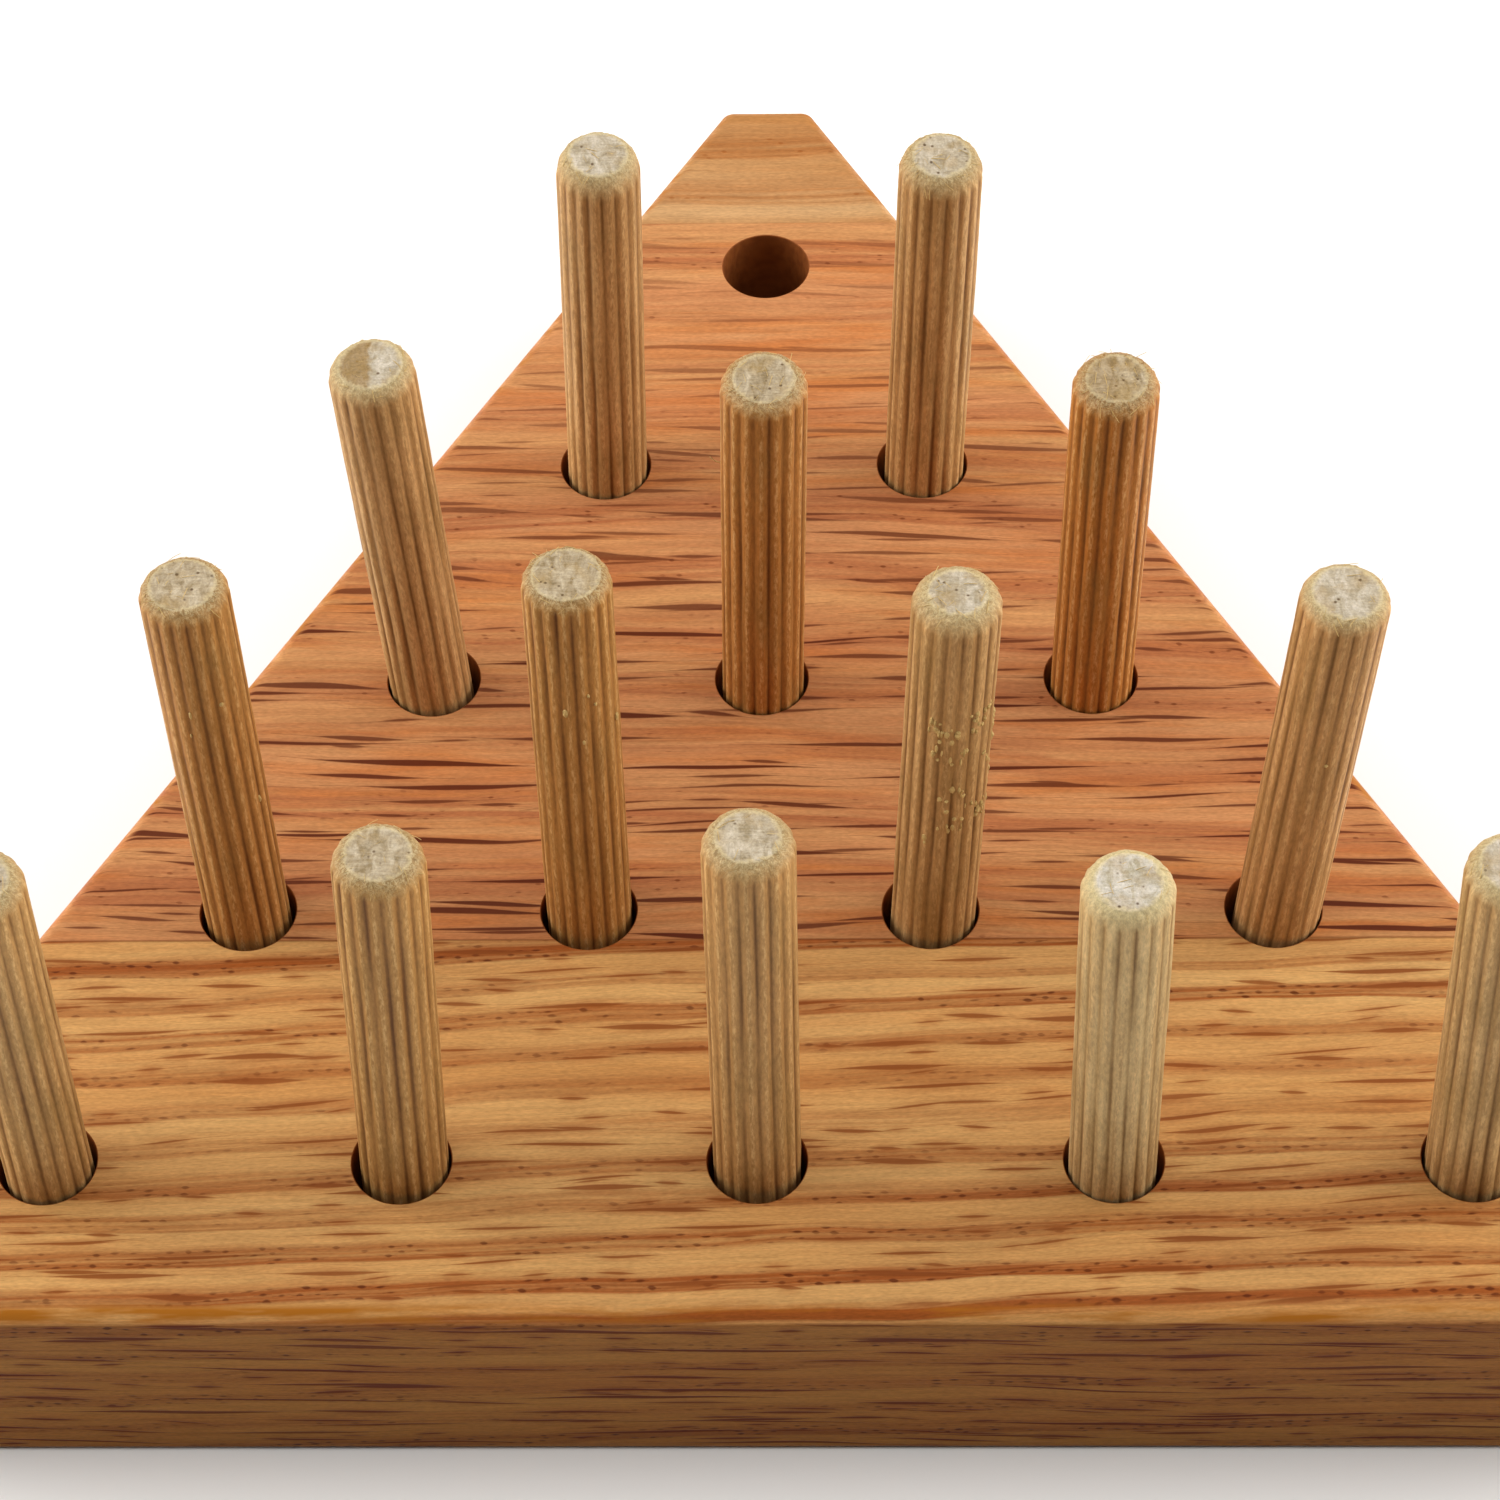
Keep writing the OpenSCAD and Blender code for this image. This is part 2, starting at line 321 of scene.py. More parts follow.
def oak(name, light, look, dashes):
    """Red oak, planed, sanded and finished with a satin oil.

    The grain runs along X. Growth rings are bands through the rotated Y, with dark short pores in their
    early wood, and the rays are thin lenses, so all of them carry on round the edges of the board.
    """
    material, tree = blank_material(name)
    place = add(tree, "ShaderNodeTexCoord").node.outputs["Object"]
    mm = add(tree, "ShaderNodeMapping", {
        "Vector": place, "Location": look["offset"], "Scale": (1000, 1000, 1000),
        "Rotation": [math.radians(look[key]) for key in ("rift", "tilt", "slope")]})
    # Zones of the board by height: the rounded edge, and the sawn sides below it.
    spot = add(tree, "ShaderNodeSeparateXYZ", {0: place}).node.outputs
    y, z = spot["Y"], spot["Z"]
    over = add(tree, "ShaderNodeMapRange", {
        "Value": z, "From Min": BOARD_T - 0.30 * MM, "From Max": BOARD_T - 0.04 * MM,
        "To Min": 1, "To Max": 0})
    under = add(tree, "ShaderNodeMapRange", {
        "Value": z, "From Min": BOARD_T - 1.45 * MM, "From Max": BOARD_T - 1.05 * MM})
    rounded = add(tree, "ShaderNodeMath", {0: over, 1: under}, operation="MULTIPLY")
    # The sawn sides: they carry their own grain, and painted shade darkens them.
    sides_grain_and_shade = add(tree, "ShaderNodeMapRange", {
        "Value": z, "From Min": BOARD_T - 1.45 * MM, "From Max": BOARD_T - 0.9 * MM,
        "To Min": 1, "To Max": 0})
    # The tree grew with a slow wander over 80 mm and a finer wave over 14 mm.
    slow = add(tree, "ShaderNodeVectorMath", {0: mm, 1: (1 / 80, 1 / 22, 1 / 22)}, operation="MULTIPLY")
    slow_noise = add(tree, "ShaderNodeTexNoise", {"Vector": slow, "Scale": 1, "Detail": 1})
    bent = add(tree, "ShaderNodeVectorMath", {
        0: slow_noise.node.outputs["Color"], 1: (0, look["wander"], look["wander"]), 2: mm},
        operation="MULTIPLY_ADD")
    fine = add(tree, "ShaderNodeVectorMath", {0: mm, 1: (1 / 14, 1 / 5, 1 / 5)}, operation="MULTIPLY")
    fine_noise = add(tree, "ShaderNodeTexNoise", {"Vector": fine, "Scale": 1, "Detail": 1})
    wood = add(tree, "ShaderNodeVectorMath", {
        0: fine_noise.node.outputs["Color"], 1: (0, 0.9, 0.9), 2: bent}, operation="MULTIPLY_ADD")

    # Broad light and deep bands, 5 mm or so wide and as long as the board.
    broad = add(tree, "ShaderNodeVectorMath", {
        0: wood, 1: (1 / 130, 1 / 4.5, 1 / 9)}, operation="MULTIPLY")
    cloud = add(tree, "ShaderNodeTexNoise", {
        "Vector": broad, "Scale": 1, "Detail": 2, "Roughness": 0.6})
    band = add(tree, "ShaderNodeMapRange", {
        "Value": cloud, "From Min": look["band_from"], "From Max": look["band_to"]})
    body = add(tree, "ShaderNodeMix", {0: band, 6: light, 7: linear(look["deep"])},
               data_type="RGBA")

    # Soft orange smears, 25 mm long and 2 mm wide, where the oil sank in unevenly.
    smear_at = add(tree, "ShaderNodeVectorMath", {
        0: wood, 1: (1 / 25, 1 / 2, 1 / 2)}, operation="MULTIPLY")
    smear = add(tree, "ShaderNodeTexNoise", {
        "Vector": smear_at, "Scale": 1, "Detail": 3, "Roughness": 0.6})
    smeared = add(tree, "ShaderNodeMapRange", {
        "Value": smear, "From Min": 0.48, "From Max": 0.68, "To Max": look["smears"]})
    body = add(tree, "ShaderNodeMix", {0: smeared, 6: body, 7: linear("#B05E22")}, data_type="RGBA")

    # Growth rings: a quick start of early wood that fades into late wood.
    through = add(tree, "ShaderNodeSeparateXYZ", {0: wood}).node.outputs["Y"]
    rings = add(tree, "ShaderNodeMath", {0: through, 1: look["ring_gap"]}, operation="DIVIDE")
    phase = add(tree, "ShaderNodeMath", {0: rings}, operation="FRACT")
    start = add(tree, "ShaderNodeMapRange", {
        "Value": phase, "From Max": 0.08}, interpolation_type="SMOOTHSTEP")
    fade = add(tree, "ShaderNodeMapRange", {
        "Value": phase, "From Min": look["ring_from"], "From Max": look["ring_to"],
        "To Min": 1, "To Max": 0},
        interpolation_type="SMOOTHSTEP")
    early = add(tree, "ShaderNodeMath", {0: start, 1: fade}, operation="MULTIPLY")
    ring_number = add(tree, "ShaderNodeMath", {0: rings}, operation="FLOOR")
    year = add(tree, "ShaderNodeTexWhiteNoise", {"W": ring_number}, noise_dimensions="1D")
    wet_year = add(tree, "ShaderNodeMapRange", {"Value": year, "To Min": 0.45, "To Max": 1.15})
    streak_at = add(tree, "ShaderNodeVectorMath", {
        0: wood, 1: (1 / 110, 1 / 0.42, 1 / 1.6)}, operation="MULTIPLY")
    streak = add(tree, "ShaderNodeTexNoise", {
        "Vector": streak_at, "Scale": 1, "Detail": 3, "Roughness": 0.6})
    streaky = add(tree, "ShaderNodeMapRange", {"Value": streak, "From Min": 0.36, "From Max": 0.60})
    banded = add(tree, "ShaderNodeMapRange", {"Value": streaky, "To Min": 0.35, "To Max": 1.0})
    early_here = add(tree, "ShaderNodeMath", {0: early, 1: banded}, operation="MULTIPLY")
    ring = add(tree, "ShaderNodeMath", {0: early_here, 1: wet_year}, operation="MULTIPLY")
    loose = add(tree, "ShaderNodeMath", {0: streaky, 1: look["streaks"]}, operation="MULTIPLY")
    contrast = add(tree, "ShaderNodeMapRange", {
        "Value": sides_grain_and_shade, "To Min": look["ring_strength"], "To Max": 0.45 * look["ring_strength"]})
    lines = add(tree, "ShaderNodeMath", {0: ring, 1: contrast, 2: loose},
                operation="MULTIPLY_ADD", use_clamp=True)
    ringed = add(tree, "ShaderNodeMix", {0: lines, 6: body, 7: linear(look["ring"])}, data_type="RGBA")

    # Fine fibres, a quarter of a millimetre across: lighter and darker threads.
    thread_at = add(tree, "ShaderNodeVectorMath", {
        0: wood, 1: (1 / 6, 1 / 0.24, 1 / 0.24)}, operation="MULTIPLY")
    thread = add(tree, "ShaderNodeTexNoise", {
        "Vector": thread_at, "Scale": 1, "Detail": 3, "Roughness": 0.7})
    shade = add(tree, "ShaderNodeMapRange", {
        "Value": thread, "From Min": 0.3, "From Max": 0.7, "To Min": 0.86, "To Max": 1.10})
    threaded = add(tree, "ShaderNodeVectorMath", {0: ringed, 1: shade}, operation="MULTIPLY")

    # Speckle: the sanded ends of single fibres, a tenth of a millimetre across.
    speck_at = add(tree, "ShaderNodeVectorMath", {
        0: wood, 1: (1 / 0.5, 1 / 0.12, 1 / 0.12)}, operation="MULTIPLY")
    speck = add(tree, "ShaderNodeTexNoise", {"Vector": speck_at, "Scale": 1, "Detail": 1})
    speckle = add(tree, "ShaderNodeMapRange", {
        "Value": speck, "From Min": 0.3, "From Max": 0.7, "To Min": 0.88, "To Max": 1.10})
    threaded = add(tree, "ShaderNodeVectorMath", {0: threaded, 1: speckle}, operation="MULTIPLY")

    # Pores: short dark scratches, thickest in the early wood.
    pore = add(tree, "ShaderNodeGroup", {
        "Vector": wood, "Length Pitch": 1.3, "Row Pitch": 0.34, "Reach": 1.3, "Thickness": 0.16,
        "Softness": 0.07, "Share": look["pores"], "Seed": 3.0}, node_tree=dashes)
    early_pores = add(tree, "ShaderNodeMapRange", {
        "Value": ring, "From Min": 0.25, "From Max": 0.7, "To Min": 0.0, "To Max": 1.0})
    pore_mask = add(tree, "ShaderNodeMath", {
        0: pore, 1: early_pores}, operation="MULTIPLY")

    # Rays: dark spindles up to 22 mm long and half a millimetre thick, in three overlapping sets, each
    # with a soft reddish edge where the oil crept out of it. A fourth set, longer, is for the edges.
    ray_sets = []
    length, rows, thick, rays, soft = (
        look["ray_" + key] for key in ("length", "rows", "thickness", "share", "soft"))
    for seed, length_pitch, row_pitch, thickness, soft, share in (
            (1.0, 22.0 * length, rows, thick, soft, rays),
            (2.0, 14.0 * length, 1.31 * rows, 0.85 * thick, soft, rays),
            (3.0, 8.0 * length, 0.9 * rows, 0.6 * thick, soft, 0.5 * rays),
            (4.0, 26.0, 1.3, 0.24, 0.045, 0.8)):
        ray_sets.append(add(tree, "ShaderNodeGroup", {
            "Vector": wood, "Length Pitch": length_pitch, "Row Pitch": row_pitch, "Reach": 60.0,
            "Thickness": thickness, "Softness": soft, "Share": share, "Seed": seed},
            node_tree=dashes).node.outputs)
    marks, halos = ray_sets[0]["Dash"], ray_sets[0]["Halo"]
    for outputs in ray_sets[1:3]:
        marks = add(tree, "ShaderNodeMath", {0: marks, 1: outputs["Dash"]}, operation="MAXIMUM")
        halos = add(tree, "ShaderNodeMath", {0: halos, 1: outputs["Halo"]}, operation="MAXIMUM")
    # Towards the apex the rays are fainter. The rounded edge is worn bare of them, and shows long
    # golden and orange patches instead.
    rear = add(tree, "ShaderNodeMapRange", {
        "Value": y, "From Min": 0.0, "From Max": 38 * MM, "To Min": 1, "To Max": 1 - look["rear_fade"]})
    patch_at = add(tree, "ShaderNodeVectorMath", {
        0: mm, 1: (1 / 12, 1 / 1.6, 1 / 1.6)}, operation="MULTIPLY")
    patch = add(tree, "ShaderNodeTexNoise", {
        "Vector": patch_at, "Scale": 1, "Detail": 3, "Roughness": 0.6})
    golden = add(tree, "ShaderNodeMapRange", {"Value": patch, "From Min": 0.47, "From Max": 0.62})
    flecks = add(tree, "ShaderNodeMath", {0: rounded, 1: golden}, operation="MULTIPLY")
    plainer = add(tree, "ShaderNodeMath", {
        0: rounded, 1: -1.0, 2: rear}, operation="MULTIPLY_ADD", use_clamp=True)
    edge_marks = add(tree, "ShaderNodeMath", {0: ray_sets[3]["Dash"], 1: sides_grain_and_shade}, operation="MULTIPLY")
    marks = add(tree, "ShaderNodeMath", {0: marks, 1: edge_marks}, operation="MAXIMUM")
    marks = add(tree, "ShaderNodeMath", {0: marks, 1: plainer}, operation="MULTIPLY")
    bare = add(tree, "ShaderNodeMath", {0: 1.0, 1: rounded}, operation="SUBTRACT", use_clamp=True)
    pored = add(tree, "ShaderNodeMath", {0: pore_mask, 1: bare}, operation="MULTIPLY")
    pored = add(tree, "ShaderNodeMix", {
        0: pored, 6: threaded, 7: linear(look["pore"])}, data_type="RGBA")
    halos = add(tree, "ShaderNodeMath", {0: halos, 1: plainer}, operation="MULTIPLY")
    pored = add(tree, "ShaderNodeMix", {0: flecks, 6: pored, 7: linear("#9C5F1C")}, data_type="RGBA")
    ray = add(tree, "ShaderNodeMix", {0: sides_grain_and_shade, 6: linear(look["ray"]), 7: linear(look["edge_ray"])},
              data_type="RGBA")
    blush = add(tree, "ShaderNodeMath", {0: halos, 1: 0.6}, operation="MULTIPLY")
    blushed = add(tree, "ShaderNodeMix", {
        0: blush, 6: pored, 7: linear(look["ring"])}, data_type="RGBA")
    rayed = add(tree, "ShaderNodeMix", {0: marks, 6: blushed, 7: ray}, data_type="RGBA")

    # Where two staves meet, the oil leaves a hairline of darker glue.
    coloured = rayed
    for glue_y, strength in zip(GLUE_LINES, (0.6, 0.12)):
        off = add(tree, "ShaderNodeMath", {0: y, 1: glue_y}, operation="SUBTRACT")
        away = add(tree, "ShaderNodeMath", {0: off}, operation="ABSOLUTE")
        line = add(tree, "ShaderNodeMapRange", {
            "Value": away, "From Min": 0.04 * MM, "From Max": 0.14 * MM, "To Min": strength, "To Max": 0})
        coloured = add(tree, "ShaderNodeMix", {
            0: line, 6: coloured, 7: linear("#6A3716")}, data_type="RGBA")

    # Painted shade: the sawn sides below the rounded edge are darkened to stand in for the shade on them, and the
    # rounded edge is lightened as a painted highlight.
    painted_side_shade = add(tree, "ShaderNodeMix", {0: sides_grain_and_shade, 6: (1, 1, 1, 1), 7: (0.58, 0.44, 0.25, 1)},
                    data_type="RGBA")
    # Painted highlight: the rounded top edge is lightened, as if lit from above.
    painted_shade_and_highlight = add(tree, "ShaderNodeMix", {0: rounded, 6: painted_side_shade, 7: (1.22, 1.20, 1.20, 1)},
                    data_type="RGBA")
    coloured = add(tree, "ShaderNodeVectorMath", {0: coloured, 1: painted_shade_and_highlight}, operation="MULTIPLY")

    rough = add(tree, "ShaderNodeMapRange", {
        "Value": thread, "From Min": 0.3, "From Max": 0.7, "To Min": 0.50, "To Max": 0.40})
    dents = add(tree, "ShaderNodeMath", {0: marks, 1: pore_mask}, operation="MAXIMUM")
    height = add(tree, "ShaderNodeMath", {0: dents, 1: -1.0, 2: shade}, operation="MULTIPLY_ADD")
    bump = add(tree, "ShaderNodeBump", {"Height": height, "Strength": 0.35, "Distance": 0.06 * MM})
    surface = add(tree, "ShaderNodeBsdfPrincipled", {
        "Base Color": coloured, "Roughness": rough, "Normal": bump, "IOR": 1.48,
        "Specular IOR Level": 0.07})
    add(tree, "ShaderNodeOutputMaterial", {"Surface": surface})
    return material


# How each stave differs from the next. deep, ring, pore, ray and edge_ray are the colours of its deeper
# bands, growth rings, pores and rays. offset is where in its tree it was cut, in millimetres, and rift,
# tilt and slope are how its rings are turned, in degrees. In millimetres too, wander is how far the
# grain strays, ring_gap is the growth of a year, ray_rows is the distance between rows of rays, and
# ray_thickness and ray_soft are a ray's thickness and blur. ray_length is 1 where the longest rays are
# 22 mm, and the rest are amounts from 0 to 1.
OAK_LOOKS = {
    "front_stave": dict(  # straight, golden, rift-sawn, with red-brown growth bands
        deep="#B88349", ring="#8E4B1E", pore="#4E1C06", ray="#7A3E16", edge_ray="#6A240A",
        offset=(40, 11, 3), rift=-43, tilt=-1.2, slope=-1.5, wander=3.0,
        ring_gap=2.3, ring_from=0.3, ring_to=0.70, ring_strength=1.0,
        band_from=0.38, band_to=0.70, smears=0.15, streaks=0.10, pores=0.5,
        ray_length=0.70, ray_rows=1.15, ray_thickness=0.22, ray_share=0.52, ray_soft=0.045, rear_fade=0),
    "middle_stave": dict(  # pinkish, flatter-sawn, with soft red bands and many dark rays
        deep="#BA8052", ring="#9E5E38", pore="#5E260A", ray="#4C1806", edge_ray="#64240A",
        offset=(7, 90, 31), rift=-58, tilt=0.4, slope=0.5, wander=5.0,
        ring_gap=3.1, ring_from=0.3, ring_to=0.85, ring_strength=0.75,
        band_from=0.36, band_to=0.64, smears=0.65, streaks=0.26, pores=0.12,
        ray_length=1.0, ray_rows=2.0, ray_thickness=0.36, ray_share=0.82, ray_soft=0.08, rear_fade=0.6),
    "rear_stave": dict(  # straw yellow, with soft wide bands and few marks
        deep="#A67240", ring="#9C6436", pore="#8A4E20", ray="#763E16", edge_ray="#6A3010",
        offset=(90, 33, 77), rift=-50, tilt=0, slope=0.8, wander=4.0,
        ring_gap=3.4, ring_from=0.25, ring_to=0.85, ring_strength=1.0,
        band_from=0.36, band_to=0.66, smears=0.20, streaks=0.10, pores=0.15,
        ray_length=0.7, ray_rows=1.9, ray_thickness=0.24, ray_share=0.12, ray_soft=0.12, rear_fade=0.3),
}


def bored_oak(colour):
    """Oak inside a drilled hole: scorched and polished by the drill, and dark all through, partly with painted
    shade for the shade inside the hole.
    """
    material, tree = blank_material("oak, drilled wall, oil-soaked")
    place = add(tree, "ShaderNodeTexCoord").node.outputs["Object"]
    mm = add(tree, "ShaderNodeMapping", {"Vector": place, "Scale": (350, 2600, 900)})
    grain = add(tree, "ShaderNodeTexNoise", {"Vector": mm, "Scale": 1, "Detail": 3})
    # Painted shade: the wall mixes towards a dark brown throughout, partly scorch and partly shade painted inside
    # the hole.
    scorch_and_painted_shade = add(tree, "ShaderNodeMix", {
        0: grain, 6: linear("#5E2A10"), 7: colour}, data_type="RGBA")
    bump = add(tree, "ShaderNodeBump", {"Height": grain, "Strength": 0.4, "Distance": 0.1 * MM})
    surface = add(tree, "ShaderNodeBsdfPrincipled", {
        "Base Color": scorch_and_painted_shade, "Roughness": 0.6, "Normal": bump, "IOR": 1.48,
        "Specular IOR Level": 0.1})
    add(tree, "ShaderNodeOutputMaterial", {"Surface": surface})
    return material


def birch(settings):
    """Raw birch dowel, pressed with flutes and sawn at its ends.

    The ridges take each peg's own tint, and the grooves are darkened with painted shade, with a thin painted line
    of shade along their bottoms and a thin painted highlight along the ridge crests. The sawn ends are whitish,
    with crossed fibres, small stains and pits.
    """
    material, tree = blank_material("birch dowel, raw and pressed")
    place = add(tree, "ShaderNodeAttribute", attribute_name="grain_place").node.outputs["Vector"]
    groove, face, shoulder, pale, warm, loose, stain_half = (
        add(tree, "ShaderNodeAttribute", attribute_name=name).node.outputs["Fac"]
        for name in ("groove", "end_face", "shoulder", "pale", "warm", "loose", "stain"))

    # Long fibres, half a millimetre across and 18 mm long.
    long_at = add(tree, "ShaderNodeVectorMath", {
        0: place, 1: (1 / 0.5, 1 / 0.5, 1 / 18)}, operation="MULTIPLY")
    fibres = add(tree, "ShaderNodeTexNoise", {
        "Vector": long_at, "Scale": 1, "Detail": 3, "Roughness": 0.6})
    fine_at = add(tree, "ShaderNodeVectorMath", {
        0: place, 1: (1 / 0.18, 1 / 0.18, 1 / 0.8)}, operation="MULTIPLY")
    fine = add(tree, "ShaderNodeTexNoise", {
        "Vector": fine_at, "Scale": 1, "Detail": 3, "Roughness": 0.7})
    smudge_at = add(tree, "ShaderNodeVectorMath", {
        0: place, 1: (1 / 3, 1 / 3, 1 / 9)}, operation="MULTIPLY")
    smudge = add(tree, "ShaderNodeTexNoise", {"Vector": smudge_at, "Scale": 1, "Detail": 2})

    ridge = add(tree, "ShaderNodeMix", {
        0: pale, 6: settings.handled_colour, 7: settings.fresh_colour}, data_type="RGBA")
    ridge_warm = add(tree, "ShaderNodeMix", {
        0: warm, 6: linear("#BFA062"), 7: linear("#CA7224")}, data_type="RGBA")
    ridges = add(tree, "ShaderNodeMix", {0: 0.5, 6: ridge, 7: ridge_warm}, data_type="RGBA")
    valley = add(tree, "ShaderNodeMix", {
        0: pale, 6: linear("#6E380C"), 7: linear("#A8824A")}, data_type="RGBA")
    streak = add(tree, "ShaderNodeMapRange", {
        "Value": fibres, "From Min": 0.35, "From Max": 0.7, "To Min": 0, "To Max": 0.55})
    streaked = add(tree, "ShaderNodeMix", {
        0: streak, 6: ridges, 7: linear("#9A6A30")}, data_type="RGBA")
    # Painted shade: the grooves are darkened towards the valley colour.
    groove_shade_amount = add(tree, "ShaderNodeMath", {0: groove, 1: 0.85}, operation="MULTIPLY")
    fluted = add(tree, "ShaderNodeMix", {0: groove_shade_amount, 6: streaked, 7: valley}, data_type="RGBA")
    # Painted shade and highlight: the bottom of a groove is painted as a thin dark line of shade, and the crest of
    # a ridge as a thin light line of highlight.
    deep = add(tree, "ShaderNodeMapRange", {
        "Value": groove, "From Min": 0.42, "From Max": 0.9, "To Max": 0.6})
    fluted = add(tree, "ShaderNodeMix", {
        0: deep, 6: fluted, 7: settings.groove_colour}, data_type="RGBA")
    # Painted highlight along the ridge crests, broken up by fine noise.
    crest = add(tree, "ShaderNodeMapRange", {
        "Value": groove, "From Max": 0.10, "To Min": 1, "To Max": 0})
    crest_highlight_breaks = add(tree, "ShaderNodeMapRange", {
        "Value": fine, "From Min": 0.42, "From Max": 0.6, "To Max": 0.5})
    crest_highlight = add(tree, "ShaderNodeMath", {0: crest, 1: crest_highlight_breaks}, operation="MULTIPLY")
    fluted = add(tree, "ShaderNodeMix", {0: crest_highlight, 6: fluted, 7: linear("#DDB980")}, data_type="RGBA")
    soil = add(tree, "ShaderNodeMapRange", {
        "Value": smudge, "From Min": 0.48, "From Max": 0.75, "To Min": 0, "To Max": 0.45})
    soiled = add(tree, "ShaderNodeMix", {0: soil, 6: fluted, 7: linear("#8C6C38")}, data_type="RGBA")
    shoulder_tone = add(tree, "ShaderNodeMix", {
        0: pale, 6: linear("#7C5E34"), 7: linear("#B4A478")}, data_type="RGBA")
    shouldered_amount = add(tree, "ShaderNodeMath", {0: shoulder, 1: 0.85}, operation="MULTIPLY")
    shouldered = add(tree, "ShaderNodeMix", {
        0: shouldered_amount, 6: soiled, 7: shoulder_tone}, data_type="RGBA")

    # Fibres torn over the shoulder: light threads, 0.1 mm across, crossing on the darker wood.
    torn_at = add(tree, "ShaderNodeVectorMath", {0: place, 1: (1.1, 1.1, 0.7)}, operation="MULTIPLY")
    torn = add(tree, "ShaderNodeTexNoise", {
        "Vector": torn_at, "Scale": 1, "Detail": 4, "Roughness": 0.75, "Distortion": 2.5})
    off_half = add(tree, "ShaderNodeMath", {0: torn, 1: 0.5}, operation="SUBTRACT")
    wire = add(tree, "ShaderNodeMath", {0: off_half}, operation="ABSOLUTE")
    wires = add(tree, "ShaderNodeMapRange", {
        "Value": wire, "From Min": 0.012, "From Max": 0.045, "To Min": 0.42, "To Max": 0})
    wired_amount = add(tree, "ShaderNodeMath", {0: wires, 1: shoulder}, operation="MULTIPLY")
    shouldered = add(tree, "ShaderNodeMix", {
        0: wired_amount, 6: shouldered, 7: linear("#DCCB9C")}, data_type="RGBA")

    # The sawn face: cloudy whitish patches, a few fibres laid over by the saw, stains and pits.
    cloud_at = add(tree, "ShaderNodeMapping", {
        "Vector": place, "Rotation": (0, 0, 0.6), "Scale": (1.3, 0.7, 0.5)})
    cloud = add(tree, "ShaderNodeTexNoise", {
        "Vector": cloud_at, "Scale": 1, "Detail": 4, "Roughness": 0.6, "Distortion": 0.8})
    laid_at = add(tree, "ShaderNodeMapping", {
        "Vector": place, "Rotation": (0, 0, -0.5), "Scale": (0.7, 5.0, 1)})
    laid = add(tree, "ShaderNodeTexNoise", {
        "Vector": laid_at, "Scale": 1, "Detail": 3, "Roughness": 0.65, "Distortion": 0.5})
    weave = add(tree, "ShaderNodeMath", {0: laid, 1: 0.45, 2: cloud}, operation="MULTIPLY_ADD")
    weave_tone = add(tree, "ShaderNodeMapRange", {"Value": weave, "From Min": 0.52, "From Max": 0.92})
    cream_low = add(tree, "ShaderNodeMix", {
        0: pale, 6: linear("#826C48"), 7: linear("#A2967C")}, data_type="RGBA")
    cream_high = add(tree, "ShaderNodeMix", {
        0: pale, 6: linear("#B8A688"), 7: settings.end_colour}, data_type="RGBA")
    cream = add(tree, "ShaderNodeMix", {0: weave_tone, 6: cream_low, 7: cream_high}, data_type="RGBA")
    stain_at = add(tree, "ShaderNodeVectorMath", {0: place, 1: (0.45, 0.45, 0.2)}, operation="MULTIPLY")
    stain = add(tree, "ShaderNodeTexNoise", {"Vector": stain_at, "Scale": 1, "Detail": 2})
    stain_amount = add(tree, "ShaderNodeMapRange", {
        "Value": stain, "From Min": 0.50, "From Max": 0.72, "To Min": 0, "To Max": 0.6})
    stained = add(tree, "ShaderNodeMix", {
        0: stain_amount, 6: cream, 7: linear("#977840")}, data_type="RGBA")
    pits = add(tree, "ShaderNodeTexVoronoi", {"Vector": place, "Scale": 1.1, "Randomness": 1})
    pit = add(tree, "ShaderNodeMapRange", {
        "Value": pits, "From Min": 0.08, "From Max": 0.17, "To Min": 0.85, "To Max": 0})
    pitted = add(tree, "ShaderNodeMix", {0: pit, 6: stained, 7: linear("#4E3414")}, data_type="RGBA")
    # One half of some faces is stained golden brown right through.
    half_stained = add(tree, "ShaderNodeMix", {
        0: stain_half, 6: pitted, 7: linear("#8A6A34")}, data_type="RGBA")
    # The rim, where the face turns over, catches the light.
    face_left = add(tree, "ShaderNodeMath", {0: 1.0, 1: face}, operation="SUBTRACT")
    turning = add(tree, "ShaderNodeMath", {0: face, 1: face_left}, operation="MULTIPLY")
    rim = add(tree, "ShaderNodeMath", {0: turning, 1: 1.5}, operation="MULTIPLY", use_clamp=True)

    both = add(tree, "ShaderNodeMix", {0: face, 6: shouldered, 7: half_stained}, data_type="RGBA")
    both = add(tree, "ShaderNodeMix", {0: rim, 6: both, 7: linear("#D2BF94")}, data_type="RGBA")
    grain = add(tree, "ShaderNodeMapRange", {
        "Value": fine, "From Min": 0.3, "From Max": 0.7, "To Min": 0.78, "To Max": 1.17})
    toned = add(tree, "ShaderNodeVectorMath", {0: both, 1: grain}, operation="MULTIPLY")
    colour = add(tree, "ShaderNodeMix", {0: loose, 6: toned, 7: linear("#C8A869")}, data_type="RGBA")

    height = add(tree, "ShaderNodeMath", {0: weave_tone, 1: face, 2: fine}, operation="MULTIPLY_ADD")
    bump = add(tree, "ShaderNodeBump", {"Height": height, "Strength": 0.45, "Distance": 0.08 * MM})
    surface = add(tree, "ShaderNodeBsdfPrincipled", {
        "Base Color": colour, "Roughness": 0.62, "Normal": bump, "IOR": 1.46,
        "Specular IOR Level": 0.25})
    add(tree, "ShaderNodeOutputMaterial", {"Surface": surface})
    return material


# ---------------------------------------------------------------- the board

CORNER_STEPS = 5  # faces round an upright corner
LOWER_STEPS, UPPER_STEPS = 4, 11  # rings round the lower break and round the upper edge
BORE_SIDES = 72


